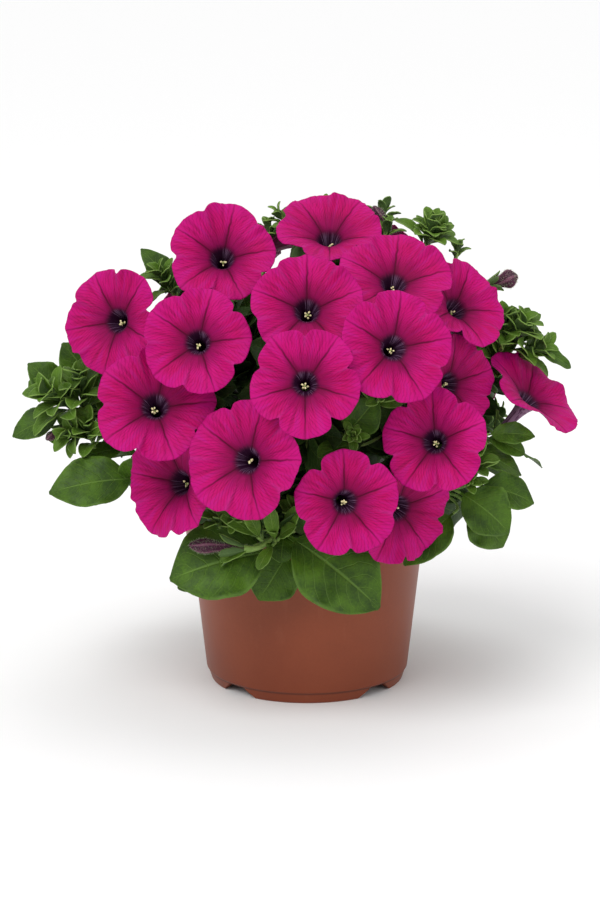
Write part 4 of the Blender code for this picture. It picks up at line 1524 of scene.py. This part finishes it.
def make_inner_leaves(spray, dark, back, spots):
    """Leaves inside the bush, between the flowers, in a green darkened as painted shade: set where they
    touch no flower, leaf or pot.
    """
    rng = random.Random(77)
    solids = solids_of(lambda name: name not in ("soil", "stems"))
    middle = Vector((0, -4, 158))
    reach_of = Vector((112, 98, 100))
    form = {"Bow": 0.06, "Keel": 0.18, "Curl": 0.03, "Stalk": 0.16, "Across": 7.0, "Along": 13.0}

    def fill(name, tries, most, shares, spread):
        """Spread 0 points the leaves outward; spread 1 lays them square to that, facing out."""
        chosen = []
        for number in range(tries):
            out = outward(number, tries)
            share = rng.choice(shares) + rng.uniform(-0.05, 0.05)
            aim = middle + Vector(a * b for a, b in zip(out, reach_of)) * share
            loose = Vector((rng.uniform(-0.7, 0.7), rng.uniform(-0.7, 0.7), rng.uniform(0.0, 0.8)))
            if spread:
                foot = min(spots, key=lambda spot: (spot - aim).length)
                run = (loose - out * (loose.dot(out) - 0.25)).normalized() * rng.uniform(24, 38)
                upper = out
            else:
                foot = min(spots, key=lambda spot: (spot - aim + out * 22).length)
                run = aim - foot
                upper = out + loose
            if not 13 < run.length < 58 or (foot + run).z < 88:
                continue
            side, along, above = blade_axes(run, upper)
            width = min(25.0, run.length * rng.uniform(0.48, 0.64))
            strip = blade_strip(foot, side, run, above, width)
            if not is_free(strip, solids):
                continue
            solids.append(strip)
            turn = axes_matrix(side, along, above, Vector()).to_euler()
            chosen.append((real(foot), turn, Vector((width, run.length, run.length)) * MM))
            if len(chosen) == most:
                break
        # The finish that comes in as dark is a leaf green darkened as painted shade.
        grown = grow(spray, name, dark, form, point_mesh("inner_points", chosen))
        piece(name, thicken(grown, LEAF_SHEET, back), "green_leaf")

    fill("facing_leaves", 1500, 320, (0.35, 0.5, 0.65, 0.8), 1)
    fill("inner_leaves", 5200, 500, (0.5, 0.66, 0.8, 0.93), 0)


# ---------------------------------------------------------------- studio


def make_studio():
    """A plain white floor, soft light all round and the camera."""
    floor = bpy.data.meshes.new("floor")
    floor.from_pydata([(-6, -4, 0), (6, -4, 0), (6, 8, 0), (-6, 8, 0)], [], [(0, 1, 2, 3)])
    floor_object = link_new("floor", floor)
    floor.materials.append(finish("floor_white", (0.93, 0.93, 0.93), 0.9, specular=0.1)[0])

    world = bpy.data.worlds.new("soft_white")
    bpy.context.scene.world = world
    world.use_nodes = True
    sky = world.node_tree.nodes["Background"]
    sky.inputs["Color"].default_value = (1.0, 1.0, 1.0, 1.0)
    seen = Field(world.node_tree, world.node_tree.nodes.new("ShaderNodeLightPath").outputs["Is Camera Ray"])
    world.node_tree.links.new((0.70 + seen * 0.32).socket, sky.inputs["Strength"])

    middle = real((0, -10, 150))
    sun = bpy.data.lights.new("key_light", "SUN")
    sun.energy = 1.5
    sun.angle = math.radians(40)
    key = link_new("key_light", sun)
    key.rotation_euler = Vector((0.42, 0.72, -0.95)).to_track_quat("-Z", "Y").to_euler()
    for name, spot, width, power in (
        ("fill_light", (1.1, -1.2, 0.6), 1.0, 3.0),
        ("top_light", (0.1, 0.3, 1.5), 0.9, 3.5),
    ):
        light = bpy.data.lights.new(name, "AREA")
        light.shape = "DISK"
        light.size = width
        light.energy = power
        lamp = link_new(name, light)
        lamp.location = spot
        lamp.rotation_euler = (middle - Vector(spot)).to_track_quat("-Z", "Y").to_euler()

    lens = bpy.data.cameras.new("camera")
    lens.sensor_width = CAMERA_FRAME
    lens.lens = CAMERA_LENGTH
    lens.shift_x = CAMERA_SHIFT
    camera = link_new("camera", lens)
    camera.location = real(CAMERA_PLACE)
    camera.rotation_euler = (real(CAMERA_AIM) - camera.location).to_track_quat("-Z", "Y").to_euler()
    bpy.context.scene.camera = camera
    bpy.context.scene.view_settings.view_transform = "Standard"


mottle = mottle_group()
petal_veins = petal_vein_group()
leaf_veins = leaf_vein_group()

petal_face = petal_finish(petal_veins, mottle)
petal_back = petal_back_finish(petal_veins, mottle)

# Each leaf finish: dark, light and vein colour, the depth of its relief in metres and how far its edge
# turns to the veins' colour.
LEAF_GREENS = {
    "leaf_face": ((0.021, 0.052, 0.006), (0.069, 0.151, 0.008), (0.15, 0.27, 0.045), 0.0007, 0.4),
    "leaf_back": ((0.060, 0.112, 0.034), (0.09, 0.16, 0.045), (0.17, 0.27, 0.09), 0.0005, 0.4),
    "young_face": ((0.046, 0.102, 0.009), (0.102, 0.206, 0.015), (0.25, 0.39, 0.09), 0.0003, 0.6),
    # The inner leaves' green is the leaf green darkened as painted shade for the depth of the bush.
    "painted_shade_inner_face": ((0.014, 0.038, 0.006), (0.034, 0.080, 0.009), (0.085, 0.16, 0.03), 0.0005, 0.4),
}
leaf_face, leaf_back, young_face, painted_shade_inner_face = (
    leaf_finish(name, dark, light, vein, leaf_veins, mottle, depth, edging)
    for name, (dark, light, vein, depth, edging) in LEAF_GREENS.items()
)

# Each cloudy finish: dark and light colour, roughness, the two scales of its patches, the depth of its
# relief in metres, its sheen and the strength of its relief.
CLOUDY_FINISHES = {
    "stem_green": ((0.15, 0.27, 0.045), (0.27, 0.42, 0.10), 0.55, (90.0, 900.0), 0.0003, 0.1, 0.4),
    "hair_pale": ((0.45, 0.55, 0.32), (0.6, 0.68, 0.45), 0.6, (90.0, 900.0), 0.0001, 0.0, 0.4),
    "anther_cream": ((0.72, 0.58, 0.28), (0.86, 0.78, 0.48), 0.7, (900.0, 5000.0), 0.0001, 0.0, 0.4),
    "stigma_olive": ((0.25, 0.32, 0.08), (0.38, 0.45, 0.12), 0.4, (900.0, 5000.0), 0.0001, 0.0, 0.4),
    "peat": ((0.008, 0.005, 0.003), (0.045, 0.026, 0.014), 0.95, (130.0, 1300.0), 0.0012, 0.0, 0.8),
}
stem_green, hair_pale, anther_cream, stigma_olive, peat = (
    cloudy_finish(name, mottle, *values) for name, values in CLOUDY_FINISHES.items()
)
bud_furled = bud_finish(mottle)
plastic = plastic_finish(mottle)

blade = blade_tree()
spray = spray_tree(blade)

make_pot(plastic)
make_soil(peat, crumb_tree())
make_blooms(trumpet_tree(), petal_face, petal_back)
make_anthers(bead_tree(), anther_cream, stigma_olive)
make_leaves(blade, leaf_face, young_face, leaf_back)
make_shoot_tips(spray, young_face, leaf_back, solids_of(lambda name: name.startswith("corolla")))
hairs = hair_tree()
make_buds(bud_furled, hairs, hair_pale)
shoot_spots = make_stems(sweep_tree(), hairs, stem_green, hair_pale)
make_sepals(spray, young_face, leaf_back)
make_inner_leaves(spray, painted_shade_inner_face, leaf_back, shoot_spots)
make_studio()
